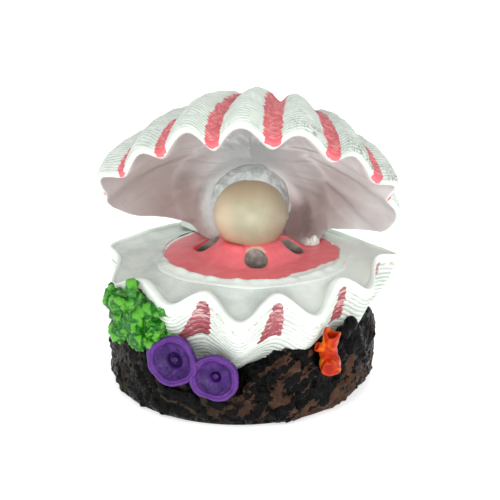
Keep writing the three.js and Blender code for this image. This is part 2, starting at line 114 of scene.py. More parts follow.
# The meshes' columns between a rib and a groove, and the spacing of their rows.
COLUMNS = {"lower": 18, "upper": 11}
ROW = {"lower": 0.29, "upper": 0.23, "hollow": 0.7, "polyp": 0.18}
LAYER_SPACING = {"lower": 1.42, "upper": 0.98}
ROCK_BEADS = [((25.6, -23.4, 22.6), (2.1, 1.9, 2.1)), ((27.6, -22.0, 24.6), (2.0, 2.0, 2.2))]
SPONGE_MOUTH = (21.7, -34.0, 16.5)
AIR_Z = 18.5
POLYPS = {
    "left": {"at": (-20.2, -33, 18.6), "turn": -24, "raise": 8, "radius": 7.5},
    "right": {"at": (-9.2, -36.8, 15.4), "turn": -12, "raise": 8, "radius": 6.9},
}


def middle_x(node):
    """The middle of a node's box along X, in millimetres."""
    low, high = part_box(node)
    return (low[0] + high[0]) / 2 / MM


SHELL_X = middle_x("pearl") - PEARL["x"]  # from the frame's origin to the shell's middle


# ---- Numbers ----
def smooth(x, low, high):
    """0 at low to 1 at high, eased at both ends."""
    t = np.clip((x - low) / (high - low), 0, 1)
    return t * t * (3 - 2 * t)


def noise(points, size, seed=0):
    """Smooth noise from -1 to 1 whose lumps are about the given size in millimetres."""
    at = points / size + 31.7 * seed
    cell = np.floor(at).astype(np.int64)
    part = at - cell
    part = part * part * (3 - 2 * part)
    total = np.zeros(points.shape[:-1])
    for corner in range(8):
        step = np.array([corner & 1, corner >> 1 & 1, corner >> 2])
        c = cell + step
        mixed = (c[..., 0] * 73856093) ^ (c[..., 1] * 19349663) ^ (c[..., 2] * 83492791)
        mixed = ((mixed ^ (mixed >> 13)) * 1274126177) & 0xFFFFFF
        total += (mixed / 0x7FFFFF - 1) * np.where(step == 1, part, 1 - part).prod(-1)
    return total


def rough(points, size, octaves=4, seed=0):
    """Noise with finer noise on it, still from about -1 to 1."""
    return sum(noise(points, size / 2**k, seed + k) / 2**k for k in range(octaves)) / 1.5


# ---- Meshes ----
def body(name, points, faces):
    """An object in the scene, from points in metres."""
    mesh = bpy.data.meshes.new(name)
    mesh.from_pydata(points, [], faces)
    made = bpy.data.objects.new(name, mesh)
    bpy.context.scene.collection.objects.link(made)
    return made


def placed(points):
    """Points about the shell's middle in millimetres, in the frame's metres."""
    return ((np.asarray(points).reshape(-1, 3) + (SHELL_X, 0, 0)) * MM).tolist()


def piece(name, points, faces, material, replaces=(), fields=None):
    """A smooth mesh that rides on the body. fields are numbers kept on its points; material is the finish it takes.
    """
    made = body(name, placed(points), [list(map(int, f)) for f in faces])
    made.data.polygons.foreach_set("use_smooth", [True] * len(made.data.polygons))
    made.data.materials.append(material)
    made.data.validate()
    keep_fields(made, fields or {})
    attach(made, "root")
    if replaces:
        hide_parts(*replaces)
    return made


def ring_piece(name, node, rings, poles, material, fields, floor=None):
    """A piece that stands for a node, from rings of points between two poles. Nothing goes below a floor."""
    points, faces = closed(rings, *poles)
    if floor is not None:
        points[:, 2] = np.maximum(points[:, 2], floor)
    kept = {key: with_poles(np.broadcast_to(values, rings.shape[:2])) for key, values in fields.items()}
    return piece(name, points, faces, material, [node], kept)


def keep_fields(made, fields):
    """Numbers kept on a piece's points, for its paint."""
    for name, values in fields.items():
        attribute = made.data.attributes.new(name, "FLOAT", "POINT")
        attribute.data.foreach_set("value", np.ravel(values).astype(np.float32))


def points_of(made):
    """A piece's points in millimetres about the shell's middle."""
    out = np.empty(len(made.data.vertices) * 3)
    made.data.vertices.foreach_get("co", out)
    return out.reshape(-1, 3) / MM - (SHELL_X, 0, 0)


def cut(made, cutter):
    """Takes one piece's body out of another and drops the cutter. The cut faces take the cutter's material."""
    step = made.modifiers.new("cut", "BOOLEAN")
    step.operation = "DIFFERENCE"
    step.solver = "EXACT"
    step.material_mode = "TRANSFER"
    step.object = cutter
    bpy.context.view_layer.update()
    result = bpy.data.meshes.new_from_object(made.evaluated_get(bpy.context.evaluated_depsgraph_get()))
    made.modifiers.clear()
    made.data = result
    bpy.data.objects.remove(cutter)


def ring_faces(rows, count, first=0):
    """Quads between rows of points that close on themselves."""
    row, i = np.meshgrid(np.arange(rows - 1), np.arange(count), indexing="ij")
    j = (i + 1) % count
    a, b = first + row * count, first + (row + 1) * count
    return np.stack([a + i, a + j, b + j, b + i], -1).reshape(-1, 4).tolist()


def closed(rings, start, end):
    """Points and faces of a body from rings of points between two poles."""
    rows, count = rings.shape[:2]
    points = np.concatenate([[start], rings.reshape(-1, 3), [end]])
    faces = ring_faces(rows, count, 1)
    last = 1 + (rows - 1) * count
    for i in range(count):
        j = (i + 1) % count
        faces.append([0, 1 + j, 1 + i])
        faces.append([last + i, last + j, len(points) - 1])
    return points, faces


def with_poles(field):
    """A field on rings, with a value for each pole."""
    return np.concatenate([[field[0].mean()], field.ravel(), [field[-1].mean()]])


def outward(rings):
    """The unit normals of rings of points."""
    along = np.roll(rings, -1, 1) - np.roll(rings, 1, 1)
    across = np.gradient(rings, axis=0)
    normal = np.cross(along, across)
    return normal / np.maximum(np.linalg.norm(normal, axis=-1, keepdims=True), 1e-9)


def evenly(curve, spacing):
    """Parameters from 0 to 1 at which curve(t), an array of points, is evenly spaced."""
    t = np.linspace(0, 1, 2000)
    steps = np.linalg.norm(np.diff(curve(t), axis=0), axis=1)
    length = np.concatenate([[0], np.cumsum(steps)])
    count = max(2, round(length[-1] / spacing))
    return np.interp(np.linspace(0, length[-1], count + 1), length, t)


def ball(centre, radii, across=32):
    """Points and faces of an ellipsoid."""
    angle = np.arange(across) * 2 * np.pi / across
    slope = np.linspace(-np.pi / 2, np.pi / 2, across // 2 + 1)[1:-1, None]
    unit = np.stack([np.cos(slope) * np.cos(angle), np.cos(slope) * np.sin(angle), np.sin(slope) + 0 * angle], -1)
    centre, radii = np.array(centre), np.array(radii) * np.ones(3)
    low, high = centre - (0, 0, radii[2]), centre + (0, 0, radii[2])
    return closed(centre + unit * radii, low, high)


def fused(bodies, voxel, passes):
    """Several closed bodies melted into one even skin."""
    points, faces = [], []
    for body_points, body_faces in bodies:
        faces += [[f + len(points) for f in face] for face in body_faces]
        points += list(map(list, body_points))
    made = body("melt", points, faces)
    mesh = made.data
    remesh = made.modifiers.new("remesh", "REMESH")
    remesh.mode = "VOXEL"
    remesh.voxel_size = voxel
    relax = made.modifiers.new("relax", "SMOOTH")
    relax.iterations = passes
    skin = made.evaluated_get(bpy.context.evaluated_depsgraph_get()).to_mesh()
    out = np.empty(len(skin.vertices) * 3)
    skin.vertices.foreach_get("co", out)
    normals = np.empty(len(skin.vertices) * 3)
    skin.vertices.foreach_get("normal", normals)
    out_faces = [list(p.vertices) for p in skin.polygons]
    bpy.data.objects.remove(made)
    bpy.data.meshes.remove(mesh)
    return out.reshape(-1, 3), out_faces, normals.reshape(-1, 3)


# ---- Materials ----
def linear(red, green, blue):
    """A colour as seen on a screen, 0 to 255, for a shader."""
    shares = [v / 255 for v in (red, green, blue)]
    return tuple(s / 12.92 if s <= 10 / 255 else ((s + 0.055) / 1.055) ** 2.4 for s in shares) + (1,)


class Paint:
    """A material whose nodes are added one by one. Numbers and colours may stand in for sockets."""

    def __init__(self, name, **shader):
        self.material = bpy.data.materials.new(name)
        self.material.use_nodes = True
        self.tree = self.material.node_tree
        self.shader = self.tree.nodes["Principled BSDF"]
        for socket, value in shader.items():
            self.shader.inputs[socket.replace("_", " ")].default_value = value
        self.place = self.node("ShaderNodeTexCoord").outputs["Object"]

    def node(self, kind, **settings):
        made = self.tree.nodes.new(kind)
        for key, value in settings.items():
            setattr(made, key, value)
        return made

    def put(self, socket, value):
        if isinstance(value, bpy.types.NodeSocket):
            self.tree.links.new(value, socket)
        elif value is not None:
            socket.default_value = value

    def math(self, operation, a, b=None):
        made = self.node("ShaderNodeMath", operation=operation)
        self.put(made.inputs[0], a)
        self.put(made.inputs[1], b)
        return made.outputs[0]

    def plus(self, a, b):
        return self.math("ADD", a, b)

    def minus(self, a, b):
        return self.math("SUBTRACT", a, b)

    def times(self, a, b):
        return self.math("MULTIPLY", a, b)

    def field(self, name):
        """A number kept on the mesh."""
        return self.node("ShaderNodeAttribute", attribute_name=name).outputs["Fac"]

    def noise(self, size, detail=3, stretch=(1, 1, 1), turn=(0, 0, 0), roughness=0.5):
        """Noise about 0 with lumps of about a size in millimetres, drawn out along its own axes."""
        mapping = self.node("ShaderNodeMapping", vector_type="TEXTURE")
        self.put(mapping.inputs["Vector"], self.place)
        mapping.inputs["Rotation"].default_value = turn
        mapping.inputs["Scale"].default_value = [size * MM * s for s in stretch]
        made = self.node("ShaderNodeTexNoise")
        made.inputs["Scale"].default_value = 1
        made.inputs["Detail"].default_value = detail
        made.inputs["Roughness"].default_value = roughness
        self.put(made.inputs["Vector"], mapping.outputs[0])
        return self.minus(made.outputs["Fac"], 0.5)

    def ramp(self, value, low, high):
        """0 below low and 1 above high, smoothly."""
        made = self.node("ShaderNodeMapRange", interpolation_type="SMOOTHSTEP")
        self.put(made.inputs["Value"], value)
        made.inputs["From Min"].default_value = low
        made.inputs["From Max"].default_value = high
        return made.outputs["Result"]

    def mix(self, share, a, b):
        """A colour between a and b."""
        made = self.node("ShaderNodeMix", data_type="RGBA")
        self.put(made.inputs["Factor"], share)
        self.put(made.inputs[6], a)
        self.put(made.inputs[7], b)
        return made.outputs[2]

    def between(self, share, a, b):
        """A colour between two that are given as seen on a screen."""
        return self.mix(share, linear(*a), linear(*b))

    def mottle(self, size, detail, low, high, a, b):
        """Two colours that change over lumps of a size; the noise goes from a at low to b at high."""
        return self.between(self.ramp(self.noise(size, detail), low, high), a, b)

    def tint(self, colour, share, seen, most=1):
        """A colour turned towards one as seen on a screen, at most by most."""
        if most != 1:
            share = self.times(share, most)
        return self.mix(share, colour, linear(*seen))

    def blend(self, share, a, b):
        """A number between a and b."""
        made = self.node("ShaderNodeMix", data_type="FLOAT")
        self.put(made.inputs[0], share)
        self.put(made.inputs[2], a)
        self.put(made.inputs[3], b)
        return made.outputs[0]

    def axis(self, index):
        """A coordinate in millimetres from the frame's origin."""
        made = self.node("ShaderNodeSeparateXYZ")
        self.put(made.inputs[0], self.place)
        return self.times(made.outputs[index], 1 / MM)

    def near(self, x, y, z, radius, soft):
        """1 within a radius of a point given about the shell's middle, falling to 0 over a soft edge."""
        made = self.node("ShaderNodeVectorMath", operation="DISTANCE")
        self.put(made.inputs[0], self.place)
        made.inputs[1].default_value = ((x + SHELL_X) * MM, y * MM, z * MM)
        distance = self.times(made.outputs["Value"], 1 / MM)
        return self.minus(1, self.ramp(distance, radius, radius + soft))

    def finish(self, colour, roughness=None, relief=None, strength=0.3, depth=0.1):
        """Connects the shader; relief is a height field that bumps the surface by up to depth millimetres."""
        self.put(self.shader.inputs["Base Color"], colour)
        self.put(self.shader.inputs["Roughness"], roughness)
        if relief is not None:
            bump = self.node("ShaderNodeBump")
            bump.inputs["Strength"].default_value = strength
            bump.inputs["Distance"].default_value = depth * MM
            self.put(bump.inputs["Height"], relief)
            self.put(self.shader.inputs["Normal"], bump.outputs[0])
        return self.material


WHITE = linear(226, 234, 226)


def shell_paint(name, pad_reach, inside, chalk, pinks):
    """Off-white layered shell with pink brushed in its grooves, and another paint inside.

    The mesh says how far a point is below the lip, how far from the nearest groove and to which side, how wide the
    paint is there and how fast its left edge widens. The paint ends in a glossy pad pad_reach over the lip. chalk is
    the white and pinks are the brush's two tones.
    """
    p = Paint(name, Specular_IOR_Level=0.4)
    along, across, layer, inner = (p.field(f) for f in ("along", "across", "layer", "inner"))
    wander = p.noise(1.4, 3)
    brush = p.noise(0.8, 3, stretch=(2.2, 2.2, 0.7))
    # White with faint green-grey clouds, and painted shade between the growth layers.
    cloud = p.noise(9, 4)
    white = p.between(p.ramp(cloud, -0.1, 0.25), chalk, [0.95 * c for c in chalk])
    white = p.tint(white, p.ramp(layer, 0.35, 0.0), (166, 176, 168))
    white = p.tint(white, p.ramp(p.noise(0.45, 2), 0.14, 0.26), (168, 180, 174), 0.5)
    # Grey-green dirt caught on the rough crests, and tan specks under the lip.
    dirt = p.times(p.ramp(p.noise(0.6, 3, roughness=0.7), -0.02, 0.1), p.ramp(p.noise(5, 2), -0.1, 0.1))
    white = p.tint(white, p.times(dirt, p.field("dirt")), (142, 150, 142))
    under_lip = p.times(p.ramp(p.noise(1.1, 3), 0.02, 0.16), p.field("tan"))
    white = p.tint(white, under_lip, (176, 160, 128))
    # The groove's paint, its edges torn by the layers and the brush.
    left = p.times(p.field("flare"), p.math("MAXIMUM", p.minus(along, 2.5), 0))
    lean = p.ramp(p.field("lean"), 0.0, -0.2)
    width = p.plus(p.field("girth"), p.times(left, lean))
    torn = p.plus(p.times(layer, 0.7), p.times(wander, 2.2))
    past = p.plus(p.minus(across, width), p.minus(torn, 0.35))
    over = p.minus(p.times(along, -1), pad_reach)
    stop = p.minus(along, p.field("stop"))
    ends = p.plus(p.math("MAXIMUM", over, stop), p.times(brush, 1.6))
    past = p.math("MAXIMUM", past, ends)
    pink_mask = p.ramp(past, 0.1, -0.1)
    pad = p.times(pink_mask, p.ramp(p.plus(along, wander), 1.7, 1.1))
    pink = p.between(p.ramp(brush, -0.1, 0.14), *pinks)
    # Painted shade darkens the pink between the growth layers.
    pink = p.tint(pink, p.ramp(layer, 0.3, 0.0), (184, 92, 100))
    worn = p.ramp(p.plus(p.noise(0.9, 3, stretch=(3, 3, 0.5), roughness=0.7), p.field("wear")), 0.1, 0.22)
    pink = p.tint(pink, worn, (212, 184, 184), 0.75)
    pink = p.tint(pink, pad, (232, 104, 114))
    colour = p.mix(pink_mask, white, pink)
    colour = p.mix(inner, colour, inside(p))
    roughness = p.blend(pad, p.blend(inner, 0.5, 0.4), 0.25)
    relief = p.plus(p.noise(0.5, 4, roughness=0.65), p.times(p.noise(0.16, 2), 0.4))
    return p.finish(colour, roughness, relief, strength=0.4, depth=0.25)


def upper_inside(p):
    """Lavender grey, mauve low down, blue-grey round the filler, painted shade on its left and in the hollow at the
    pearl's right, with a few pits.
    """
    wash = p.noise(7, 4, stretch=(2.2, 1, 1))
    colour = p.between(p.ramp(wash, -0.16, 0.2), (208, 206, 204), (192, 184, 183))
    # Painted shade: the left of the inside is darker.
    left = p.ramp(p.plus(p.axis(0), p.times(wash, 10)), -6, -20)
    colour = p.tint(colour, left, (160, 148, 145), 0.75)
    low = p.ramp(p.plus(p.axis(2), p.times(wash, 14)), 62, 46)
    mauve = p.times(low, p.ramp(p.near(0, 4, 46, 22, 18), 0, 1))
    colour = p.tint(colour, mauve, (150, 128, 124), 0.8)
    colour = p.tint(colour, p.near(0, 8, 64, 5, 9), (176, 182, 182), 0.6)
    beside = p.near(PEARL["x"], PEARL["y"] + FILLER["behind"], PEARL["z"] + 1, 11, 6)
    collar = p.plus(beside, p.times(p.noise(1.6, 4), 0.9))
    colour = p.tint(colour, p.times(p.ramp(collar, 0.1, 1.0), p.ramp(p.axis(0), 10, 4)), (182, 186, 184))
    # Painted shade of the deep hollow at the pearl's right.
    dark = p.plus(p.near(12.5, 8, 43.5, 2, 9.5), p.times(p.noise(2.5, 4), 0.5))
    colour = p.tint(colour, p.ramp(dark, 0.1, 0.95), (104, 84, 80), 0.9)
    pits = p.times(p.ramp(p.noise(0.8, 2, roughness=0.6), 0.21, 0.26), 0.7)
    return p.tint(colour, pits, (120, 104, 104))


def lower_inside(p):
    """Grey-white pools, paler at the right, with a white lip in front and a white border round the mantle. The dish's
    grey is painted shade under the upper valve.
    """
    pool = p.noise(6, 3)
    # Painted shade: the dish is greyer than the shell, paler at the right and whiter towards the front lip.
    colour = p.between(p.ramp(pool, -0.12, 0.2), (207, 214, 207), (189, 197, 192))
    colour = p.tint(colour, p.ramp(p.axis(0), 8, 24), (216, 222, 214))
    lip = p.plus(p.field("along"), p.times(p.noise(2.5, 3), 2))
    colour = p.tint(colour, p.times(p.ramp(lip, -5, -1.5), p.ramp(p.axis(1), -12, -24)), (224, 231, 221))
    border = p.plus(p.field("border"), p.times(p.noise(1.6, 4), 1.2))
    return p.tint(colour, p.ramp(border, 0.45, 0.9), (226, 234, 226))


def mantle_paint():
    """Coral pink, brushed, that ends in an uneven line on the white border; red and bare spots by the holes."""
    p = Paint("mantle_paint", Specular_IOR_Level=0.45, Coat_Weight=0.15, Coat_Roughness=0.25)
    brush = p.noise(2.2, 4, stretch=(2.2, 1, 1), turn=(0, 0, 0.5))
    pink = p.between(p.ramp(brush, -0.15, 0.2), (226, 104, 112), (232, 116, 122))
    pink = p.tint(pink, p.ramp(p.noise(5, 3), 0.05, 0.25), (214, 94, 102), 0.5)
    pink = p.tint(pink, p.field("red"), (216, 52, 62))
    edge = p.plus(p.field("edge"), p.times(p.noise(2.5, 3), 2.6))
    colour = p.mix(p.ramp(edge, 0.15, 0.5), WHITE, pink)
    bare = p.ramp(p.plus(p.field("bare"), p.times(p.noise(1, 3), 1.3)), 0.55, 0.75)
    colour = p.tint(colour, bare, (196, 168, 142))
    relief = p.plus(p.noise(1.1, 4, stretch=(2.5, 1, 1), turn=(0, 0, 0.5)), p.noise(0.3, 2))
    return p.finish(colour, 0.34, relief, strength=0.3, depth=0.15)


def bore_paint():
    """Bare grey-brown resin."""
    p = Paint("bore_paint", Roughness=0.6)
    colour = p.mottle(1.6, 4, -0.12, 0.18, (128, 118, 110), (160, 150, 142))
    return p.finish(colour, None, p.noise(0.6, 4), strength=0.5, depth=0.2)


def pearl_paint():
    """Cream, greener in the middle, peach towards the crown and the underside, with a satin gloss; painted light
    pales its left and painted shade darkens its right.
    """
    p = Paint("pearl_paint", Specular_IOR_Level=0.4, Coat_Weight=0.2, Coat_Roughness=0.3)
    cream = p.mottle(6, 3, -0.1, 0.2, (172, 167, 140), (162, 158, 133))
    # Painted light: the left is paler.
    cream = p.tint(cream, p.ramp(p.axis(0), 0, -6), (206, 190, 160))
    low = p.ramp(p.plus(p.axis(2), p.times(p.noise(3, 3), 4)), 45.5, 39.5)
    colour = p.tint(cream, low, (196, 148, 122), 0.8)
    crown = p.ramp(p.plus(p.axis(2), p.times(p.noise(4, 3), 3)), 51, 58.5)
    colour = p.tint(colour, crown, (168, 146, 118), 0.85)
    # Painted shade: the right is darker.
    right = p.ramp(p.axis(0), 4, 12)
    colour = p.tint(colour, right, (146, 130, 108), 0.7)
    return p.finish(colour, 0.36, p.noise(0.9, 4), strength=0.15, depth=0.12)


def bedding_paint():
    """Filler: bluish grey-white, whiter on its crumbs and left side, with painted shade darkening its right."""
    p = Paint("bedding_paint", Roughness=0.6)
    grey = p.mottle(2.2, 4, -0.12, 0.18, (172, 180, 178), (202, 206, 203))
    # Painted shade on the right.
    right = p.ramp(p.plus(p.axis(0), p.times(p.noise(3, 3), 5)), 5, 15)
    grey = p.tint(grey, right, (128, 118, 116), 0.8)
    grey = p.tint(grey, p.ramp(p.field("crumb"), 0.1, 0.8), (204, 206, 203), 0.5)
    grey = p.tint(grey, p.ramp(p.noise(0.6, 3), 0.16, 0.28), (120, 122, 122), 0.7)
    return p.finish(grey, None, p.noise(0.6, 5, roughness=0.7), strength=0.6, depth=0.35)


def foot_paint():
    """The upper valve's foot: a pale skirt on the mantle, painted shade in brown beside the pearl, white behind and
    on the lug.
    """
    p = Paint("foot_paint", Specular_IOR_Level=0.4)
    colour = p.mottle(2.5, 4, -0.12, 0.2, (176, 168, 160), (196, 192, 184))
    wander = p.times(p.noise(2, 3), 3)
    # Painted shade of the hollow at the pearl's right.
    colour = p.tint(colour, p.near(11, 8, 39, 2, 5), (126, 108, 102))
    back = p.ramp(p.plus(p.axis(1), wander), 12, 18)
    pale = p.math("MAXIMUM", back, p.near(18.6, 4.6, 38.6, 1.2, 1.6))
    colour = p.tint(colour, pale, (214, 220, 212))
    return p.finish(colour, 0.42, p.noise(0.7, 4), strength=0.4, depth=0.3)


def rock_paint():
    """Black lacquer. Brown runs in slanting bands at the right and between the black lumps at the left; painted shade
    darkens the low relief.
    """
    p = Paint("rock_paint", Specular_IOR_Level=0.07)
    relief = p.field("relief")
    dark = p.mottle(1.4, 4, -0.1, 0.2, (5, 5, 6), (15, 15, 15))
    right = p.ramp(p.axis(0), -16, 6)
    band = p.noise(4.4, 4, stretch=(3.6, 1.4, 1), turn=(0, -0.72, 0), roughness=0.5)
    band = p.plus(band, p.times(p.noise(1.2, 3, roughness=0.6), 0.2))
    low = p.ramp(p.minus(p.field("below"), right), 0, 9)
    bands = p.ramp(p.plus(band, p.times(low, 0.08)), 0.1, 0.115)
    crease = p.plus(p.field("crease"), p.times(p.noise(1.3, 4, roughness=0.6), 0.5))
    net = p.times(p.ramp(crease, 0.16, 0.1), p.ramp(p.noise(4, 3), -0.14, -0.02))
    brown = p.times(p.blend(right, net, bands), p.minus(1, p.near(26.2, -22.4, 23.6, 4, 1)))
    earth = p.mottle(3, 3, -0.1, 0.15, (60, 42, 32), (78, 55, 41))
    earth = p.tint(earth, p.minus(1, right), (58, 48, 37))
    colour = p.mix(brown, dark, earth)
    # Painted shade in the low relief.
    colour = p.tint(colour, p.ramp(relief, -0.35, -0.8), (8, 8, 8))
    bump = p.plus(p.noise(0.9, 4, roughness=0.6), p.times(p.noise(0.35, 3), 0.5))
    return p.finish(colour, p.blend(brown, 0.16, 0.5), bump, strength=0.9, depth=0.45)


def coral_paint():
    """Glossy green with a painted highlight that yellows the crowns and painted shade deep in the folds, teal in the
    middle.
    """
    p = Paint("coral_paint", Specular_IOR_Level=0.3, Coat_Weight=0.25, Coat_Roughness=0.08)
    relief = p.field("relief")
    green = p.mottle(1.5, 4, -0.1, 0.2, (14, 92, 8), (30, 120, 14))
    # Painted highlight on the crowns and painted shade in the folds.
    green = p.tint(green, p.ramp(relief, 0.5, 1.1), (92, 178, 36), 0.7)
    green = p.tint(green, p.ramp(relief, 0.1, -0.7), (4, 62, 6), 0.85)
    teal = p.times(p.near(-31.5, -27, 26, 2, 4), p.ramp(relief, 0.2, -0.3))
    green = p.tint(green, teal, (20, 128, 80), 0.6)
    return p.finish(green, 0.2, p.noise(0.6, 4), strength=0.7, depth=0.35)


def polyp_paint():
    """Purple, with a painted highlight paling the rim and painted shade darkening the well."""
    p = Paint("polyp_paint", Specular_IOR_Level=0.18, Coat_Weight=0.04, Coat_Roughness=0.15)
    purple = p.mottle(2.2, 4, -0.12, 0.2, (46, 18, 80), (72, 34, 110))
    # Painted highlight on the rim and painted shade in the well.
    purple = p.tint(purple, p.ramp(p.field("rise"), 0.62, 1.0), (88, 46, 124))
    purple = p.tint(purple, p.ramp(p.field("rise"), 0.25, 0.0), (30, 12, 54))
    return p.finish(purple, 0.34, p.noise(0.8, 4), strength=0.5, depth=0.3)


def sponge_paint():
    """Red-orange, with a painted highlight yellowing the bumps and painted shade in the hollows and the mouth, and a
    brown smear at the left.
    """
    p = Paint("sponge_paint", Specular_IOR_Level=0.15, Coat_Weight=0.08, Coat_Roughness=0.1)
    relief = p.field("relief")
    orange = p.mottle(1.4, 3, -0.1, 0.2, (168, 36, 0), (188, 52, 2))
    # Painted highlight on the bumps and painted shade in the hollows.
    orange = p.tint(orange, p.ramp(relief, 0.3, 0.8), (220, 110, 22))
    orange = p.tint(orange, p.ramp(relief, -0.1, -0.7), (150, 26, 2))
    left = p.times(p.near(18.2, -31.5, 17.2, 0.8, 2.4), 0.8)
    orange = p.tint(orange, left, (104, 72, 28))
    return p.finish(orange, 0.24, p.noise(0.7, 3), strength=0.4, depth=0.3)


def plastic(name, colour, roughness, grain):
    """A plain material, faintly mottled, with a grain of a size in millimetres."""
    p = Paint(name)
    tone = p.mix(p.ramp(p.noise(3, 3), -0.2, 0.2), colour, tuple(0.86 * c for c in colour[:3]) + (1,))
    return p.finish(tone, roughness, p.noise(grain, 3), strength=0.25, depth=0.1)


# ---- Scalloped lips ----
class Lip:
    """A closed curve through a lip's ribs and grooves. Turns count them: 0 is a rib, 1 the next groove, and so on."""

    def __init__(self, points):
        self.points = np.array(points, float)
        self.count = len(points)

    def turns(self, columns):
        return np.arange(self.count * columns) / columns

    def at(self, turn):
        """Points on the curve, which is smooth through its ribs and grooves."""
        turn = np.mod(turn, self.count)
        k = np.floor(turn).astype(int)
        f = (turn - k)[..., None]
        a, b, c, d = (self.points[(k + step) % self.count] for step in (-1, 0, 1, 2))
        return b + 0.5 * f * (c - a + f * (2 * a - 5 * b + 4 * c - d + f * (3 * b - a - 3 * c + d)))

    def even(self, turn):
        """The lip without its scallops."""
        return (self.at(turn - 0.5) + self.at(turn + 0.5)) / 2

    def wave(self, turn):
        """The scallops alone."""
        return self.at(turn) - self.even(turn)


def from_groove(turn):
    """Signed distance to the nearest groove, in turns."""
    return np.mod(turn, 2) - 1


def by_groove(turn, values, other):
    """A value for each groove, named by its place in the rim, out to the ribs beside it."""
    groove = (2 * np.floor(turn / 2) + 1).astype(int)
    return np.array([values.get(g, other) for g in groove])


def groove_fields(lip, turn, along, share, girth, other):
    """How far points are below the lip, from the nearest groove and to its left or right, and the paint's width."""
    spacing = np.linalg.norm(lip.at(turn + 0.5) - lip.at(turn - 0.5), axis=-1)
    aside = from_groove(turn)
    return {
        "along": along,
        "across": np.abs(aside) * spacing * share,
        "lean": np.sin(math.pi * aside),
        "girth": by_groove(turn, girth, other),
    }


def layers(along, points, spacing, seed):
    """Growth layers: each rises to its edge and drops to the next, 0 to 1."""
    wander = 0.9 * noise(points, 9, seed) + 0.35 * noise(points, 3, seed + 3)
    count, phase = np.divmod(along / spacing + wander, 1)
    return (0.78 + 0.22 * np.sin(7.3 * count)) * (1 - phase) ** 0.8 * smooth(phase, 0, 0.16)


def arc_length(rings, start):
    """How far each ring's points are along their column from the row start; rows before it count down."""
    steps = np.linalg.norm(np.diff(rings, axis=0), axis=-1)
    length = np.concatenate([np.zeros((1, rings.shape[1])), np.cumsum(steps, 0)])
    return length - length[start]


# ---- Lower valve ----
def lower_rim(azimuth, reach, z):
    """A point of the lower lip, by its azimuth about the bowl's middle and its share of the bowl's reach."""
    a = math.radians(azimuth)
    return LOWER["half_width"] * reach * math.sin(a), LOWER["y"] - LOWER["half_depth"] * reach * math.cos(a), z


LOWER_LIP = Lip([lower_rim(*point) for point in LOWER["rim"]])


def outwards(points, distance):
    """A level move away from the middle of the bowl."""
    away = points - (0, LOWER["y"], 0)
    away[..., 2] = 0
    return points + distance * away / np.linalg.norm(away, axis=-1, keepdims=True)


def lower_outer(turn, slope):
    """A row of the outer wall, at a slope of 0 at the lip to 90 degrees at the bottom. The scallops fade down it."""
    fall = np.sin(slope)
    share = np.cos(slope) ** LOWER["fullness"]
    even, wave = LOWER_LIP.even(turn), LOWER_LIP.wave(turn) * (1 - 0.7 * fall)
    bottom = np.array(LOWER["bottom"])
    points = bottom + (even - bottom) * share
    points[..., :2] += wave[..., :2] * share
    points[..., 2] = even[..., 2] + (bottom[2] - even[..., 2]) * fall + wave[..., 2] * (1 - fall)
    return points


def on_mantle_edge(points, inset, z):
    """The mantle's edge at the azimuths of points about the bowl's middle."""
    angle = np.arctan2(points[..., 0] / LOWER["half_width"], (LOWER["y"] - points[..., 1]) / LOWER["half_depth"])
    x = MANTLE["x"] + (MANTLE["half_width"] - inset) * np.sin(angle)
    y = MANTLE["y"] - (MANTLE["half_depth"] - inset) * np.cos(angle)
    return np.stack([x, y, z + 0 * x], -1)


# The paint's half width in each groove, named by its place in the rim, and how fast its left edge widens.
LOWER_GIRTH = {1: 1.6, 3: 1.3, 5: 1.5, 17: 0.9, 19: 1.2, 21: 1.6}
LOWER_FLARE = {1: 0.35, 3: 0.15, 21: 0.62, 19: 0.3}


def lower_wall(turn):
    """The outer wall's rows, from near the bottom up to the lip."""

    def section(t):
        slope = np.radians(80 * (1 - t))
        return np.stack([38 * np.cos(slope) ** LOWER["fullness"], 27 * np.sin(slope)], -1)

    return [lower_outer(turn, s) for s in np.radians(80 * (1 - evenly(section, ROW["lower"])))]


def lower_crown(lip, front):
    """The lip's rounded top, thicker in front."""
    rows = []
    for roll in np.radians(np.arange(18, 181, 18)):
        inset = LOWER["lip"] * (0.15 + 0.3 * front) * (1 - math.cos(roll))
        lift = (0.3 + 0.5 * front) * math.sin(roll) - 0.25 * (1 - math.cos(roll))
        rows.append(outwards(lip, -inset) + lift * (0, 0, 1))
    return rows


def lower_dish(lip, border, wave, front):
    """The dish from the lip's inside to the border. The scallops fade into it."""
    rows = []
    for t in np.linspace(0, 1, 44)[1:]:
        row = lip + (border - lip) * t
        row[:, 2] += wave * ((1 - t) ** 1.3 - (1 - t)) - (0.4 + 0.3 * front) * math.sin(math.pi * t)
        rows.append(row)
    return rows


def lower_border(even, border, width, bead):
    """A crumbly border that laps over the mantle's edge, beaded in front."""
    wobble = 0.5 * noise(border, 3.5, 13) + 0.3 * noise(border, 1.5, 14)
    height = (0.6 + 0.5 * noise(border, 2.6, 12)) * bead
    middle = np.array((MANTLE["x"], MANTLE["y"], 0))
    rows = []
    for share in np.linspace(0, 1, 18)[1:]:
        inset = -width + (width + BORDER["overlap"] + 0.6 * wobble) * share
        rise = height * math.sin(math.pi * share**2.2) + 0.25 * share
        edge = on_mantle_edge(even, 0, MANTLE["top"] - 0.1 + rise)
        outward_from_middle = (edge - middle) * (1, 1, 0)
        length = np.linalg.norm(outward_from_middle, axis=1, keepdims=True)
        rows.append(edge - inset[:, None] * outward_from_middle / length)
    return rows


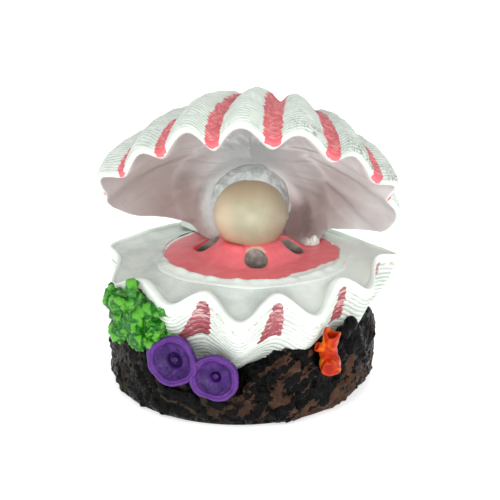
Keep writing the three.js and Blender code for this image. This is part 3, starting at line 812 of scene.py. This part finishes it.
def lower_valve(material):
    """The bowl: wall, lip, dish, border and the air chamber under the mantle."""
    turn = LOWER_LIP.turns(COLUMNS["lower"])
    lip, even = LOWER_LIP.at(turn), LOWER_LIP.even(turn)
    front = smooth(lip[:, 1], -12, -24)
    bead = 0.25 + 0.75 * smooth(on_mantle_edge(even, -BORDER["width"], 0)[:, 1], -6, -14)
    width = BORDER["width"] * (0.4 + 0.6 * bead) + 0.9 * noise(even, 7, 15)
    border = on_mantle_edge(even, -width, MANTLE["top"] - 0.2)
    outer = lower_wall(turn)
    crown = lower_crown(lip, front[:, None])
    dish = lower_dish(crown[-1], border, LOWER_LIP.wave(turn)[:, 2], front)
    ridge = lower_border(even, border, width, bead)
    chamber = [(-GLUE_GAP / 2, 36), (0, 32.7), (4.2, 32.7), (4.8, 26), (9.5, 18), (13.5, CHAMBER_FLOOR)]
    well = [on_mantle_edge(even, inset, z) for inset, z in chamber]
    rings = np.array(outer + crown + dish + ridge + well)
    along = -arc_length(rings, len(outer) - 1)
    on_wall = smooth(along, 2.2, 3.0)
    band = smooth(along, -1, 0.5) * smooth(along, 2.9, 2.3)
    layer = layers(along, rings, LAYER_SPACING["lower"], 5)
    # Lower layer numbers at the left and right widen the painted shade between the growth layers there.
    shade_sides = smooth(np.abs(rings[..., 0]), 14, 26)
    strength = on_wall * (0.58 + 0.2 * noise(rings, 7, 8)) * (1 - 0.5 * smooth(along, 14, 26))
    lumps = 0.2 * rough(rings, 5, 3, 11) + 0.1 * rough(rings, 1.5, 3, 17)
    rough_foot = 0.25 * rough(rings, 1.8, 3, 19) * smooth(along, 12, 20)
    rings = rings + outward(rings) * (strength * (layer - 0.35) + lumps + rough_foot + 0.3 * band)[..., None]
    row = np.arange(len(rings))[:, None]
    border_start = len(outer + crown + dish) - 3
    on_border = (row >= border_start) & (row < border_start + 3 + len(ridge))
    fields = groove_fields(LOWER_LIP, turn, along, np.clip(1 - along / 60, 0.3, 1), LOWER_GIRTH, 0.8)
    fields.update({
        "flare": by_groove(turn, LOWER_FLARE, 0.1),
        "stop": 12.2,
        "wear": 0.2 * smooth(layer, 0.8, 0.2) - 0.12 * smooth(along, 5, 9),
        "inner": smooth(-along, 0.2, 1.4),
        "layer": (layer * on_wall + (1 - on_wall) * 0.6) * (1 - 0.4 * shade_sides),
        "dirt": 0.3 * smooth(along, 6, 2) * smooth(along, 0, 1),
        "tan": smooth(along, 1.9, 2.4) * smooth(along, 3.4, 2.8),
        "border": on_border * (0.35 + 0.65 * bead),
    })
    poles = np.array(LOWER["bottom"], float), np.array((MANTLE["x"], MANTLE["y"], CHAMBER_FLOOR))
    return ring_piece("lower_valve_shell", "lower_valve", rings, poles, material, fields)


# ---- Upper valve ----
UPPER_LIP = Lip(UPPER["rim"])
# The paint's half width in each groove, named by its place in the rim.
UPPER_GIRTH = {5: 0.6, 7: 0.9, 9: 1.3, 11: 1.9, 13: 2.3, 15: 2.8, 17: 2.7, 19: 1.9, 21: 0.8, 23: 0.7}


def tilted(local):
    """Points given across, from the hinge and above the rim's plane."""
    s, c = math.sin(math.radians(UPPER["tilt"])), math.cos(math.radians(UPPER["tilt"]))
    x, far, high = local[..., 0], local[..., 1], local[..., 2]
    return np.stack([x, UPPER["hinge_y"] - far * c + high * s, UPPER["hinge_z"] + far * s + high * c], -1)


def upper_point(turn, v, umbo, top, inset, waves, swell):
    """A row of the dome, v from 0 at the umbo to 1 at the lip; inset draws the lip in, and a low swell is full."""
    umbo = np.array([*umbo, 0])
    even = UPPER_LIP.even(turn)
    across = even - (0, 28, 0)
    across[:, 2] = 0
    even = even - inset * across / np.linalg.norm(across, axis=-1, keepdims=True)
    flat = umbo + (even - umbo) * v
    sunk = 1 - UPPER["sink"] * smooth(flat[:, 0], 2, 42)
    flat[:, 2] = even[:, 2] * v + top * sunk * max(0, 1 - v**2.3) ** swell
    # Wide ribs and narrow grooves.
    return tilted(flat + waves * UPPER_LIP.wave(turn - 0.07 * np.sin(math.pi * turn)))


def foot_front(x):
    """Where the foot's front meets the mantle: Y for X."""
    return np.interp(x, *zip(*FOOT["front"]))


def throat(x, z):
    """Y of the cheeks that close in round the pearl, from the mantle up to over the pearl."""
    line = foot_front(x)
    reach = np.hypot(x - PEARL["x"], 1.1 * np.maximum(z - PEARL["z"], 0))
    side = np.where(x > 0, 0.075, 0.055)
    cheek = 5.6 + side * np.maximum(0, reach - 8) ** 2
    rise = smooth(z, FOOT["z"], 44)
    collar = 4.5 + 0.45 * np.maximum(0, reach - 10.6) + 0.5 * np.maximum(0, reach - 13.5) ** 2
    return soft_min(line + (cheek - line) * rise, collar, 1.5)


def soft_min(a, b, width):
    """The lower of two, with a rounded step between them."""
    h = np.clip(0.5 + 0.5 * (b - a) / width, 0, 1)
    return b + (a - b) * h - width * h * (1 - h)


def upper_rows(turn):
    """The dome's rows from the throat out to the lip and back over the outside, and the first outside row."""

    def section(t):
        v = np.sin(t * np.pi / 2)
        return np.stack([38 * v, 27 * np.maximum(0, 1 - v**2.3) ** 0.6], -1)

    outer_v = np.sin(evenly(section, ROW["upper"]) * np.pi / 2)[::-1][:-1]
    inner_v = np.sin(evenly(section, ROW["hollow"]) * np.pi / 2)[1:]
    umbo, top, hollow = UPPER["umbo"][:2], UPPER["umbo"][2], UPPER["hollow"]
    lip = UPPER["lip"] * (0.36 + 0.12 * np.cos(math.pi / 2 * from_groove(turn)) ** 2)[:, None]
    inner = [upper_point(turn, v, UPPER["throat"], hollow, lip, v, 1.05) - (0, 0, 0.9 * v) for v in inner_v]
    outer = [upper_point(turn, v, umbo, top, 0, v**0.8 + 0.3 * v * (1 - v), 0.6) for v in outer_v]
    for row in inner:
        row[:, 1] = soft_min(row[:, 1], throat(row[:, 0], row[:, 2]), 4)
    # The lip's face bulges forwards and down.
    down = math.radians(42)
    face = []
    for t in np.linspace(0, 1, 11)[1:-1]:
        bulge = 0.45 * math.sin(math.pi * t) * np.array([0, -math.sin(down), -math.cos(down)])
        face.append(inner[-1] + (outer[0] - inner[-1]) * t + bulge)
    return np.stack(inner + face + outer), len(inner) + len(face)


def upper_valve(material):
    """The dome: strands run out over its hollow side, and growth layers cover its outside."""
    turn = UPPER_LIP.turns(COLUMNS["upper"])
    rings, lip_row = upper_rows(turn)
    along = arc_length(rings, lip_row)
    inner = smooth(-along, 1.1, 1.7)
    on_top = smooth(along, 0.3, 1.2)
    layer = layers(along, rings, LAYER_SPACING["upper"], 31)
    strength = on_top * (0.56 + 0.2 * noise(rings, 8, 37))
    lumps = 0.2 * rough(rings, 6, 3, 41) + 0.1 * rough(rings, 1.5, 3, 43) * (1 - 0.5 * inner)
    strands = np.stack([3 * turn + 0 * along, 0.1 * along, 0 * along], -1)
    lumps += 0.6 * rough(strands, 2.2, 3, 47) * smooth(-along, 1.5, 7) * smooth(along - along[0], 6, 22)
    rings = rings + outward(rings) * (strength * (layer - 0.35) + lumps)[..., None]
    right = smooth(rings[..., 0], 2, 20)
    fields = groove_fields(UPPER_LIP, turn, along, np.clip(1 - along / 55, 0.25, 1), UPPER_GIRTH, -3)
    fields.update({
        "flare": 0,
        "stop": 44 + 6 * noise(rings, 9, 33),
        "wear": -0.06 + 0.1 * smooth(layer, 0.5, 0.1) * smooth(along, 6, 12),
        "inner": inner,
        "layer": layer * on_top + (1 - on_top) * 0.6,
        "dirt": right * smooth(along, 10, 3) * smooth(along, -0.5, 0.5) + 0.25 * smooth(along, 3, 1) * on_top,
        "tan": 0,
    })
    poles = rings[0].mean(0), tilted(np.array(UPPER["umbo"], float))
    floor = FOOT["z"] - GLUE_GAP / 2
    return ring_piece("upper_valve_shell", "upper_valve", rings, poles, material, fields, floor)


def upper_foot(material):
    """The mound that the upper valve stands on, with a low skirt along its front and a lug at the right."""
    bodies = [ball(*FOOT["mound"]), ball(*FOOT["lug"], 24)]
    for x in np.linspace(-18, 17.8, 32):
        bodies.append(ball((x, foot_front(x) + 2.6, 37.4), FOOT["skirt"], 16))
    points, faces, normals = fused(bodies, 0.35, 8)
    points += normals * (0.3 * rough(points, 2.4, 4, 51) + 0.1)[:, None]
    points[:, 2] = np.maximum(points[:, 2], FOOT["z"] - GLUE_GAP)
    return piece("upper_valve_foot", points, faces, material)


def bedding(material):
    """Filler round the back of the pearl, crumbly along its edge."""
    centre = np.array((PEARL["x"], PEARL["y"] + FILLER["behind"], PEARL["z"] + FILLER["above"]))
    points, faces, normals = fused([ball(centre, FILLER["radii"], 64)], 0.33, 2)
    rim = 1 - np.abs(points[:, 1] - centre[1] + 2.5) / 4
    crumb = np.clip(rim, 0, 1) * smooth(noise(points, 1.5, 63), -0.1, 0.5)
    points += normals * (0.5 * rough(points, 3.0, 4, 61) + 0.3 * crumb)[:, None]
    points[:, 2] = np.maximum(points[:, 2], BOSS["top"] - 1.5)
    return piece("pearl_filler", points, faces, material, ["pearl_bedding"], {"crumb": crumb})


def pearl(material):
    """The bead, very slightly uneven."""
    centre = np.array([PEARL[k] for k in "xyz"])
    points, faces = ball(centre, PEARL["radius"], 120)
    out = (points - centre) / PEARL["radius"]
    points = points + out * (0.06 * rough(points, 7, 2, 71))[:, None]
    return piece("pearl_bead", points, faces, material, ["pearl"])


# ---- Mantle ----
def hole_centres():
    """The X and Y of the bubble holes, which stand round the pearl."""
    turns = [math.radians(a) for a in HOLES["azimuths"]]
    reach = HOLES["from_pearl"]
    return [np.array([PEARL["x"] + reach * math.cos(a), PEARL["y"] + reach * math.sin(a)]) for a in turns]


def mantle(material, bare):
    """A pink lid that rises to a collar round the pearl, with three holes in it."""
    angle = np.arange(420) * 2 * np.pi / 420
    share = np.linspace(0, 1, 110)[1:, None]
    x = MANTLE["x"] + MANTLE["half_width"] * share * np.sin(angle)
    y = MANTLE["y"] - MANTLE["half_depth"] * share * np.cos(angle)
    flat = np.stack([x, y, 0 * x], -1)
    from_pearl = np.hypot(x - PEARL["x"], y - PEARL["y"])
    rise = smooth(from_pearl, BOSS["foot_radius"] + 1.5, BOSS["top_radius"] - 0.5)
    z = MANTLE["top"] + MANTLE["dome"] * (1 - share**2) + (BOSS["top"] - MANTLE["top"]) * rise
    bearing = np.degrees(np.arctan2(y - PEARL["y"], x - PEARL["x"]))
    roll = smooth(bearing, -150, -138) * smooth(bearing, -98, -106) * np.exp(-(((from_pearl - 9.8) / 1.1) ** 2))
    z += 0.9 * roll + 0.16 * rough(flat, 6, 3, 81) + 0.05 * rough(flat, 1.4, 3, 83)
    z -= 0.9 * smooth(share, 0.975, 1.0)
    for cx, cy in hole_centres():
        z -= 0.5 * smooth(np.hypot(x - cx, y - cy), 4.1, 3.0)
    rings = np.stack([x, y, z], -1)
    under = MANTLE["top"] - 3.9
    skirt = rings[-1] * (1, 1, 0) + (0, 0, under)
    rings = np.concatenate([rings, [skirt]])[::-1]
    low, high = (np.array([MANTLE["x"], MANTLE["y"], height]) for height in (under, BOSS["top"]))
    points, faces = closed(rings, low, high)
    made = piece("mantle_flesh", points, faces, material, ["mantle"])
    for x, y in hole_centres():
        cut(made, bore(x, y, bare))
    keep_fields(made, mantle_fields(points_of(made)))
    return made


def bore(x, y, material):
    """The body that cuts one bubble hole, a little out of round."""
    turn = np.arange(48) * 2 * np.pi / 48
    radius = HOLES["radius"] * (1 + 0.05 * np.sin(2 * turn + x) + 0.03 * np.sin(3 * turn + y))
    flat = x + radius * np.cos(turn), y + radius * np.sin(turn)
    heights = (31.0, 34.0, 37.0, 40.0, 44.0)
    rows = np.stack([np.stack([*flat, h + 0 * turn], -1) for h in heights])
    points, faces = closed(rows, *(np.array((x, y, h)) for h in (heights[0], heights[-1])))
    made = body("bore", placed(points), faces)
    made.data.materials.append(material)
    return made


def mantle_fields(at):
    """How far points are inside the painted edge, and where bare resin and red show by the holes."""
    across, back = (at[:, 0] - MANTLE["x"]) / MANTLE["half_width"], (MANTLE["y"] - at[:, 1]) / MANTLE["half_depth"]
    turned = np.mod(np.arctan2(across, back), 2 * np.pi)
    edge = (1 - np.hypot(across, back)) * MANTLE["half_width"]
    edge -= 2.6 * smooth(turned, 0.15, 0.6) * smooth(turned, 1.45, 1.0)
    edge -= 1.6 * smooth(turned, 1.5, 2.1) * smooth(turned, 5.0, 4.2)
    holes = hole_centres()
    worn = np.zeros(len(at))
    for (x, y), strength in zip(holes, (1.0, 0.6, 0.5)):
        toward = smooth(y + 1.5 - at[:, 1], 1.0, -1.5)
        worn = np.maximum(worn, strength * toward * smooth(np.hypot(at[:, 0] - x, at[:, 1] - y), 4.3, 3.2))
    bearing = np.degrees(np.arctan2(at[:, 1] - PEARL["y"], at[:, 0] - PEARL["x"]))
    reach = np.hypot(at[:, 0] - PEARL["x"], at[:, 1] - PEARL["y"])
    red = smooth(bearing, -150, -140) * smooth(bearing, -98, -106) * np.exp(-(((reach - 9.2) / 1.0) ** 2))
    left = holes[2]
    red += smooth(np.hypot(at[:, 0] - left[0] + 1.5, at[:, 1] - left[1] - 1.2), 3.6, 2.6)
    return {"edge": edge, "bare": worn, "red": np.clip(red, 0, 1)}


# ---- Rock ----
def rock_edge(azimuth):
    """The height of the rock's upper edge at azimuths in degrees, 0 in front."""
    angles = np.array([a for a, _ in ROCK["edge"]])
    heights = np.array([h for _, h in ROCK["edge"]])
    k = np.clip(np.searchsorted(angles, azimuth, side="right") - 1, 0, len(angles) - 2)
    return heights[k] + (heights[k + 1] - heights[k]) * smooth(azimuth, angles[k], angles[k + 1])


def lumpy(points):
    """Crumpled lava: rounded lumps parted by creases, crinkled, with pits, and how near each crease is."""
    warped = points + 1.3 * np.stack([noise(points, 4, s) for s in (101, 102, 103)], -1)
    slant = np.stack([warped[..., 0] + 0.6 * warped[..., 2], warped[..., 1], 0.6 * warped[..., 2]], -1)
    crease = np.abs(noise(slant, 4.4, 104))
    crinkle = np.abs(noise(warped, 2.1, 105))
    fine = np.abs(noise(warped, 1.0, 107))
    pits = smooth(noise(points, 1.3, 106), 0.4, 0.6)
    return 1.5 * crease + 0.6 * crinkle + 0.35 * fine - 0.5 * pits - 0.75, crease


def rock(material):
    """The rock: a drum that widens from its foot, with an uneven edge and a crumpled surface."""
    azimuth = np.linspace(-180, 180, 720, endpoint=False)
    turn = np.radians(azimuth)
    edge = rock_edge(azimuth) + 0.35 * noise(np.stack([40 * np.sin(turn), 40 * np.cos(turn), 0 * turn], -1), 2.2, 108)
    radius, foot = ROCK["radius"], ROCK["foot_radius"]
    # Each row is a radius, a share of the edge's height, a lift and a share of the foot's move along X.
    profile = [(foot - 6, 0, 0, 1), (foot - 0.6, 0, 0, 1), (foot, 0, 0.4, 1)]
    for t in np.linspace(0.1, 1, 12):
        profile.append((foot + (radius - foot) * math.sin(t * math.pi / 2), 0, 0.4 + 4.1 * t, 1 - t))
    profile += [(radius, 0.6 * t, 4.5 * (1 - t), 0) for t in np.linspace(0.04, 1, 28)]
    profile += [(radius - 1.4 * t**2, 0.6 + 0.34 * t, 0, 0) for t in np.linspace(0.05, 1, 20)]
    for t in np.linspace(0.1, 1, 9):
        profile.append((radius - 1.4 - 2.6 * t, 0.94 + 0.06 * math.sin(t * math.pi / 2), 0, 0))
    profile += [(radius - 4 - 8 * t, 1, ROCK["crown"] * t, 0) for t in np.linspace(0.06, 1, 17)]
    rows = []
    for r, share, lift, move in profile:
        x = ROCK["x"] + ROCK["foot_x"] * move + r * np.sin(turn)
        rows.append(np.stack([x, -r * np.cos(turn), edge * share + lift], -1))
    rings = np.stack(rows)
    relief, crease = lumpy(rings)
    free = smooth(rings[..., 2], 0.1, 1.4)
    rings = rings + outward(rings) * (free * (1.2 * relief - 0.1))[..., None]
    rings[..., 2] = np.maximum(rings[..., 2], 0)
    poles = np.array((ROCK["x"], 0.0, 0.0)), np.array((ROCK["x"], 0.0, 22.0))
    fields = {"relief": relief, "below": edge - rings[..., 2], "crease": crease}
    return ring_piece("rock_body", "rock_base", rings, poles, material, fields)


def rock_knob(material):
    """Two black beads of rock over the edge of the shell."""
    points, faces, normals = fused([ball(*bead, 28) for bead in ROCK_BEADS], 0.3, 3)
    relief = rough(points, 1.6, 3, 109)
    points += normals * (0.2 * relief)[:, None]
    fields = {"relief": 0.2 * relief, "below": 0 * relief, "crease": 1 + 0 * relief}
    return piece("rock_knob", points, faces, material, (), fields)


# ---- Decorations ----
CORAL_KNOBS = [
    (-35.2, -22.5, 31.6, 3.2), (-30.6, -25.2, 32.4, 2.9), (-27, -27.4, 30.6, 3.1), (-35.6, -21.6, 27.8, 3),
    (-30.8, -25.6, 27.4, 4.4), (-25.4, -28.8, 25.8, 3.2), (-34.8, -23.6, 23.4, 3.4), (-30, -27.8, 22.6, 3.5),
    (-25.4, -29.8, 22.4, 2.6),
]
# Each finger runs through its points and keeps its radius.
CORAL_FINGERS = [
    ([(-37, -22.4, 27.5), (-38.6, -21.2, 31), (-37.9, -21, 35)], 1.15),
    ([(-31.6, -25.6, 33), (-32, -24.9, 36), (-31.6, -24.6, 37.4)], 1.5),
    ([(-26.6, -29.6, 30.6), (-24.2, -30.6, 31.4), (-22.8, -30.8, 31.8)], 1.2),
    ([(-24.6, -30.6, 24.6), (-22.6, -31.6, 25), (-21.6, -31.9, 25.4)], 0.8),
]


def strand(points, radius):
    """Overlapping balls along a line of points."""
    bodies = []
    for a, b in zip(points, points[1:]):
        for t in np.linspace(0, 1, 7):
            bodies.append(ball(np.array(a) + (np.array(b) - np.array(a)) * t, radius, 16))
    return bodies


def coral(material):
    """Knobs crowned with little craters and folds, on a few fingers."""
    knobs = []
    for x, y, z, r in CORAL_KNOBS:
        knobs.append(ball((x, y, z), r * 0.92))
        for k in range(5):
            turn, lift = 2.4 * k + x, math.cos(1.9 * k + z)
            level = math.sqrt(1 - lift * lift * 0.8)
            away = np.array([math.cos(turn) * level, math.sin(turn) * level, lift * 0.9])
            knobs.append(ball(np.array((x, y, z)) + away * r * 0.62, r * (0.46 + 0.08 * math.sin(3 * k)), 16))
    for points, radius in CORAL_FINGERS:
        knobs += strand(points, radius)
    points, faces, normals = fused(knobs, 0.28, 3)
    warped = points + 0.8 * np.stack([noise(points, 2.2, s) for s in (113, 114, 115)], -1)
    folds = 3 * np.abs(noise(warped * (1, 1, 0.75), 2.0, 111)) - 0.6
    fine = 3 * np.abs(noise(warped, 0.95, 112)) - 0.6
    points = points + normals * (0.42 * folds + 0.2 * fine - 0.05)[:, None]
    # The relief kept for the paint rises on proud knobs and on the front, where the painted highlight goes, and falls
    # in the folds, where the painted shade goes.
    knob = [np.linalg.norm(points - (x, y, z), axis=1) / r for x, y, z, r in CORAL_KNOBS]
    proud = np.clip((np.min(knob, axis=0) - 0.8) * 3, -1, 1)
    outer = smooth(-points[:, 1] - 0.25 * points[:, 0], 29, 37) - 0.5
    fields = {"relief": np.clip(0.5 * folds + 0.25 * fine + 0.4 * proud + 0.6 * outer, -1, 1)}
    return piece("green_coral_branch", points, faces, material, ["green_coral"], fields)


def facing(turn, lift):
    """Two cross axes and the outward axis of a body on the rock's side."""
    turn, lift = math.radians(turn), math.radians(lift)
    out = Vector((math.sin(turn), -math.cos(turn), math.tan(lift))).normalized()
    side = Vector((0, 0, 1)).cross(out).normalized()
    up = out.cross(side).normalized()
    return np.array(side), np.array(up), np.array(out)


def polyp(name, node, spec, seed, well, square, material):
    """A ruffled cup with a folded rim, and a button in a well of the given radius."""
    side, up, out = facing(spec["turn"], spec["raise"])
    at, radius = np.array(spec["at"]), spec["radius"]
    # Radius and height along the cup's axis, from the stem round the rim and down into the well.
    path = np.array(
        [
            (3.2, -5), (4.4, -3), (radius - 2, -1.4), (radius - 0.9, -0.3), (radius - 0.5, 0.1), (radius - 0.35, 0.8),
            (radius - 0.05, 1.1), (radius, 1.9), (radius - 0.3, 2.5), (radius - 0.7, 2.75), (radius - 1.0, 2.6),
            (radius - 1.2, 2.3), (radius - 1.5, 2.35), (radius - 1.8, 2.2), (radius - 2.1, 1.7), (radius - 3, 1.2),
            (well + 0.9, 0.75), (well + 0.2, 0.5), (well - 0.2, 0.0), (well - 0.5, -0.7), (1.3, -0.9), (1.05, -0.6),
            (1.0, 0.0), (0.8, 0.3), (0.3, 0.4),
        ],
        float,
    )
    steps = np.arange(len(path))

    def profile(t):
        step = t * steps[-1]
        return np.stack([np.interp(step, steps, path[:, 0]), np.interp(step, steps, path[:, 1])], -1)

    r, h = (column[:, None] for column in profile(evenly(profile, ROW["polyp"])).T)
    a = np.arange(200) * 2 * np.pi / 200
    rim = smooth(r, 2.5, radius)
    shape = square * np.cos(4 * a + seed) + 0.025 * np.cos(3 * a + 2.1 * seed) + 0.012 * np.sin(7 * a + seed)
    ruffle = rim * (0.25 * np.sin(5 * a + 2 * seed) + 0.12 * np.sin(9 * a + seed))
    level = r * (1 + rim * shape)
    flat = np.cos(a)[:, None] * side + 0.93 * np.sin(a)[:, None] * up
    rings = at + level[..., None] * flat + (h + ruffle * smooth(h, -1, 2))[..., None] * out
    bumps = 0.2 * rough(rings, 2.4, 3, 120 + seed) + 0.1 * rough(rings, 0.9, 2, 130 + seed)
    rings = rings + outward(rings) * (bumps * smooth(r, 1.2, 3))[..., None]
    poles = at - 5.2 * out, at + 0.45 * out
    return ring_piece(name, node, rings, poles, material, {"rise": np.clip((h + ruffle + 0.9) / 3.6, 0, 1)})


def tube(at, length, radius, axis, notch=0.0):
    """Points and faces of an open-mouthed tube with a rolled rim, along an axis."""
    axis = Vector(axis).normalized()
    side = axis.cross(Vector((0.3, 0.2, 1))).normalized()
    other = axis.cross(side)
    rows = [
        (0.75, 0), (0.82, 0.25), (0.9, 0.5), (0.97, 0.75), (1.04, 0.92), (1.02, 1.0), (0.88, 1.03), (0.72, 0.98),
        (0.62, 0.85), (0.5, 0.6), (0.3, 0.5),
    ]
    a = np.arange(36) * 2 * np.pi / 36
    rings = []
    for r, share in rows:
        lift = notch * np.cos(2 * a) * smooth(share, 0.6, 1)
        level = radius * r * (1 + 0.07 * np.sin(3 * a + length))
        ring = level[:, None] * (np.cos(a)[:, None] * np.array(side) + np.sin(a)[:, None] * np.array(other))
        rings.append(np.array(at) + ring + (length * share + lift)[:, None] * np.array(axis))
    rings = np.stack(rings)
    end = np.array(at) + length * 0.48 * np.array(axis)
    return closed(rings, np.array(at, float), end)


def sponge(material):
    """Three orange tubes on one root; the lowest has a coil inside its mouth."""
    mouth = np.array(SPONGE_MOUTH)
    bodies = [
        tube((21.7, -30.5, 18.2), 4.3, 2.6, (0, -0.9, -0.45)),
        tube((21.2, -30.2, 18.6), 7.6, 2.3, (0.15, -0.2, 1), notch=0.8),
        tube((21.2, -30.6, 20.2), 3.9, 1.3, (-0.85, -0.35, 0.5)),
        ball((21.7, -31.4, 16.9), (3.0, 2.9, 3.7)),
        ball((21.3, -30.0, 19.8), (2.6, 2.6, 3.8)),
    ]
    for t in np.linspace(0, 1, 26):
        turn, reach = 9 * t, 1.5 * (1 - 0.8 * t)
        bodies.append(ball(mouth + (reach * math.cos(turn), 0.5 * t, reach * math.sin(turn) * 0.85), 0.5, 12))
    points, faces, normals = fused(bodies, 0.26, 1)
    relief = noise(points, 1.6, 131)
    points = points + normals * (0.12 * relief)[:, None]
    inside = np.linalg.norm((points - mouth) * (1, 0.6, 1), axis=1)
    # Painted shade inside the mouth.
    relief = 0.8 * relief + smooth(inside, 2.4, 1.2) * -0.5 + smooth(inside, 2, 3) * 0.2
    kept = {"relief": np.clip(relief, -1, 1)}
    return piece("orange_sponge_tubes", points, faces, material, ["orange_sponge"], kept)


# ---- Air line ----
def turned(name, node, profile, material):
    """A body of revolution about the air line, from radius and y pairs that close on themselves."""
    a = np.arange(96) * 2 * np.pi / 96
    rings = np.stack([np.stack([r * np.cos(a), y + 0 * a, AIR_Z + r * np.sin(a)], -1) for r, y in profile])
    faces = ring_faces(len(rings), 96)
    last = (len(rings) - 1) * 96
    faces += [[last + i, last + (i + 1) % 96, (i + 1) % 96, i] for i in range(96)]
    made = piece(name, rings.reshape(-1, 3), faces, material, [node])
    made.data.flip_normals()
    return made


def air_inlet(material):
    """A barbed connector: spigot, ribbed body, stem and barb, with eased edges."""
    profile = [(1.3, 24.2), (2.2, 24.2), (2.3, 24.4), (2.3, 31), (3.9, 31), (4.1, 31.2)]
    for k in range(4):
        y = 32.4 + 1.3 * k
        profile += [(4.1, y), (3.9, y + 0.2), (3.9, y + 0.5), (4.1, y + 0.7)]
    profile += [(4.1, 38.4), (3.9, 38.6), (2.4, 38.6), (2.3, 38.8), (2.3, 41.8), (2.8, 42.4), (2.75, 42.6)]
    profile += [(2.1, 45.8), (2.0, 46), (1.4, 46), (1.3, 45.9)]
    return turned("air_inlet_barb", "air_inlet", profile, material)


# ---- Making ----
# The two valves carry one paint in tones set against their light: the lower pinks are darkened as painted shade under
# the strong front light, the lower white is raised as painted light on its down-facing walls, and the upper white is
# greyed as painted shade under the top light.
UPPER_PINKS = ((208, 104, 110), (232, 142, 144))
LOWER_PINKS = ((142, 62, 70), (160, 86, 92))
ROCK_PAINT = rock_paint()
PURPLE = polyp_paint()

lower_valve(shell_paint("lower_shell_paint", -1.9, lower_inside, (230, 238, 229), LOWER_PINKS))
upper_valve(shell_paint("upper_shell_paint", 1.2, upper_inside, (222, 231, 222), UPPER_PINKS))
upper_foot(foot_paint())
bedding(bedding_paint())
pearl(pearl_paint())
mantle(mantle_paint(), bore_paint())
rock(ROCK_PAINT)
rock_knob(ROCK_PAINT)
coral(coral_paint())
polyp("purple_polyp_left_cup", "purple_polyp_left", POLYPS["left"], 1, 2.3, 0.05, PURPLE)
polyp("purple_polyp_right_cup", "purple_polyp_right", POLYPS["right"], 4, 1.5, 0.015, PURPLE)
sponge(sponge_paint())
air_inlet(plastic("inlet_plastic", linear(38, 130, 96), 0.35, 0.6))

CARRIED = {
    "inner_hose": plastic("hose_silicone", linear(214, 223, 224), 0.35, 0.8),
    "stone_nipple": plastic("nipple_plastic", linear(30, 30, 32), 0.4, 0.5),
    "air_stone": plastic("stone_grit", linear(138, 147, 163), 0.9, 0.35),
}
for node, material in CARRIED.items():
    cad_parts[node].material_slots[0].material = material


# ---- Room, light and camera ----
LIGHTS = [
    ("key", (-0.45, -0.62, 0.48), 0.4, 1.6),
    ("right_fill", (0.6, -0.45, 0.35), 0.5, 1.0),
    ("front_fill", (0.0, -0.88, 0.08), 0.5, 3.9),
    ("back", (0.1, 0.6, 0.6), 0.5, 0.8),
]
CAMERA = {"elevation": 21, "distance": 0.56, "aim_z": 0.0377, "lens": 143, "sensor": 36}
FLOOR_REACH = 4.0
LIGHT_AIM_Z = 0.045


def stage():
    """A white floor that glows a little, and a white room."""
    corners = [(FLOOR_REACH * x, FLOOR_REACH * y, 0) for x, y in ((-1, -1), (1, -1), (1, 1), (-1, 1))]
    floor = body("floor", corners, [(0, 1, 2, 3)])
    p = Paint("floor_paper", Roughness=0.9, Emission_Color=(1, 1, 1, 1), Emission_Strength=0.5)
    tone = p.mottle(60, 2, -0.3, 0.3, (250, 250, 250), (247, 247, 247))
    floor.data.materials.append(p.finish(tone, None, p.noise(2, 2), strength=0.02, depth=0.1))
    world = bpy.data.worlds.new("room")
    world.use_nodes = True
    background = world.node_tree.nodes["Background"]
    background.inputs["Color"].default_value = (1, 1, 1, 1)
    background.inputs["Strength"].default_value = 0.75
    bpy.context.scene.world = world


def placed_facing(name, data, at, aim):
    """A light or a camera at a place, turned to look at another."""
    made = bpy.data.objects.new(name, data)
    made.location = at
    made.rotation_euler = (aim - made.location).to_track_quat("-Z", "Y").to_euler()
    bpy.context.scene.collection.objects.link(made)
    return made


def softbox(name, at, size, watts):
    """A round soft light, aimed at the shell."""
    data = bpy.data.lights.new(name, "AREA")
    data.shape = "DISK"
    data.size = size
    data.energy = watts
    placed_facing(name, data, at, Vector((SHELL_X * MM, 0, LIGHT_AIM_Z)))


def camera():
    """A long lens in front of the shell, looking a little down."""
    data = bpy.data.cameras.new("camera")
    data.sensor_width = CAMERA["sensor"]
    data.lens = CAMERA["lens"]
    aim = Vector((SHELL_X * MM, 0, CAMERA["aim_z"]))
    slope = math.radians(CAMERA["elevation"])
    at = aim + CAMERA["distance"] * Vector((0, -math.cos(slope), math.sin(slope)))
    bpy.context.scene.camera = placed_facing("camera", data, at, aim)


stage()
for light in LIGHTS:
    softbox(*light)
camera()
bpy.context.scene.view_settings.view_transform = "Standard"
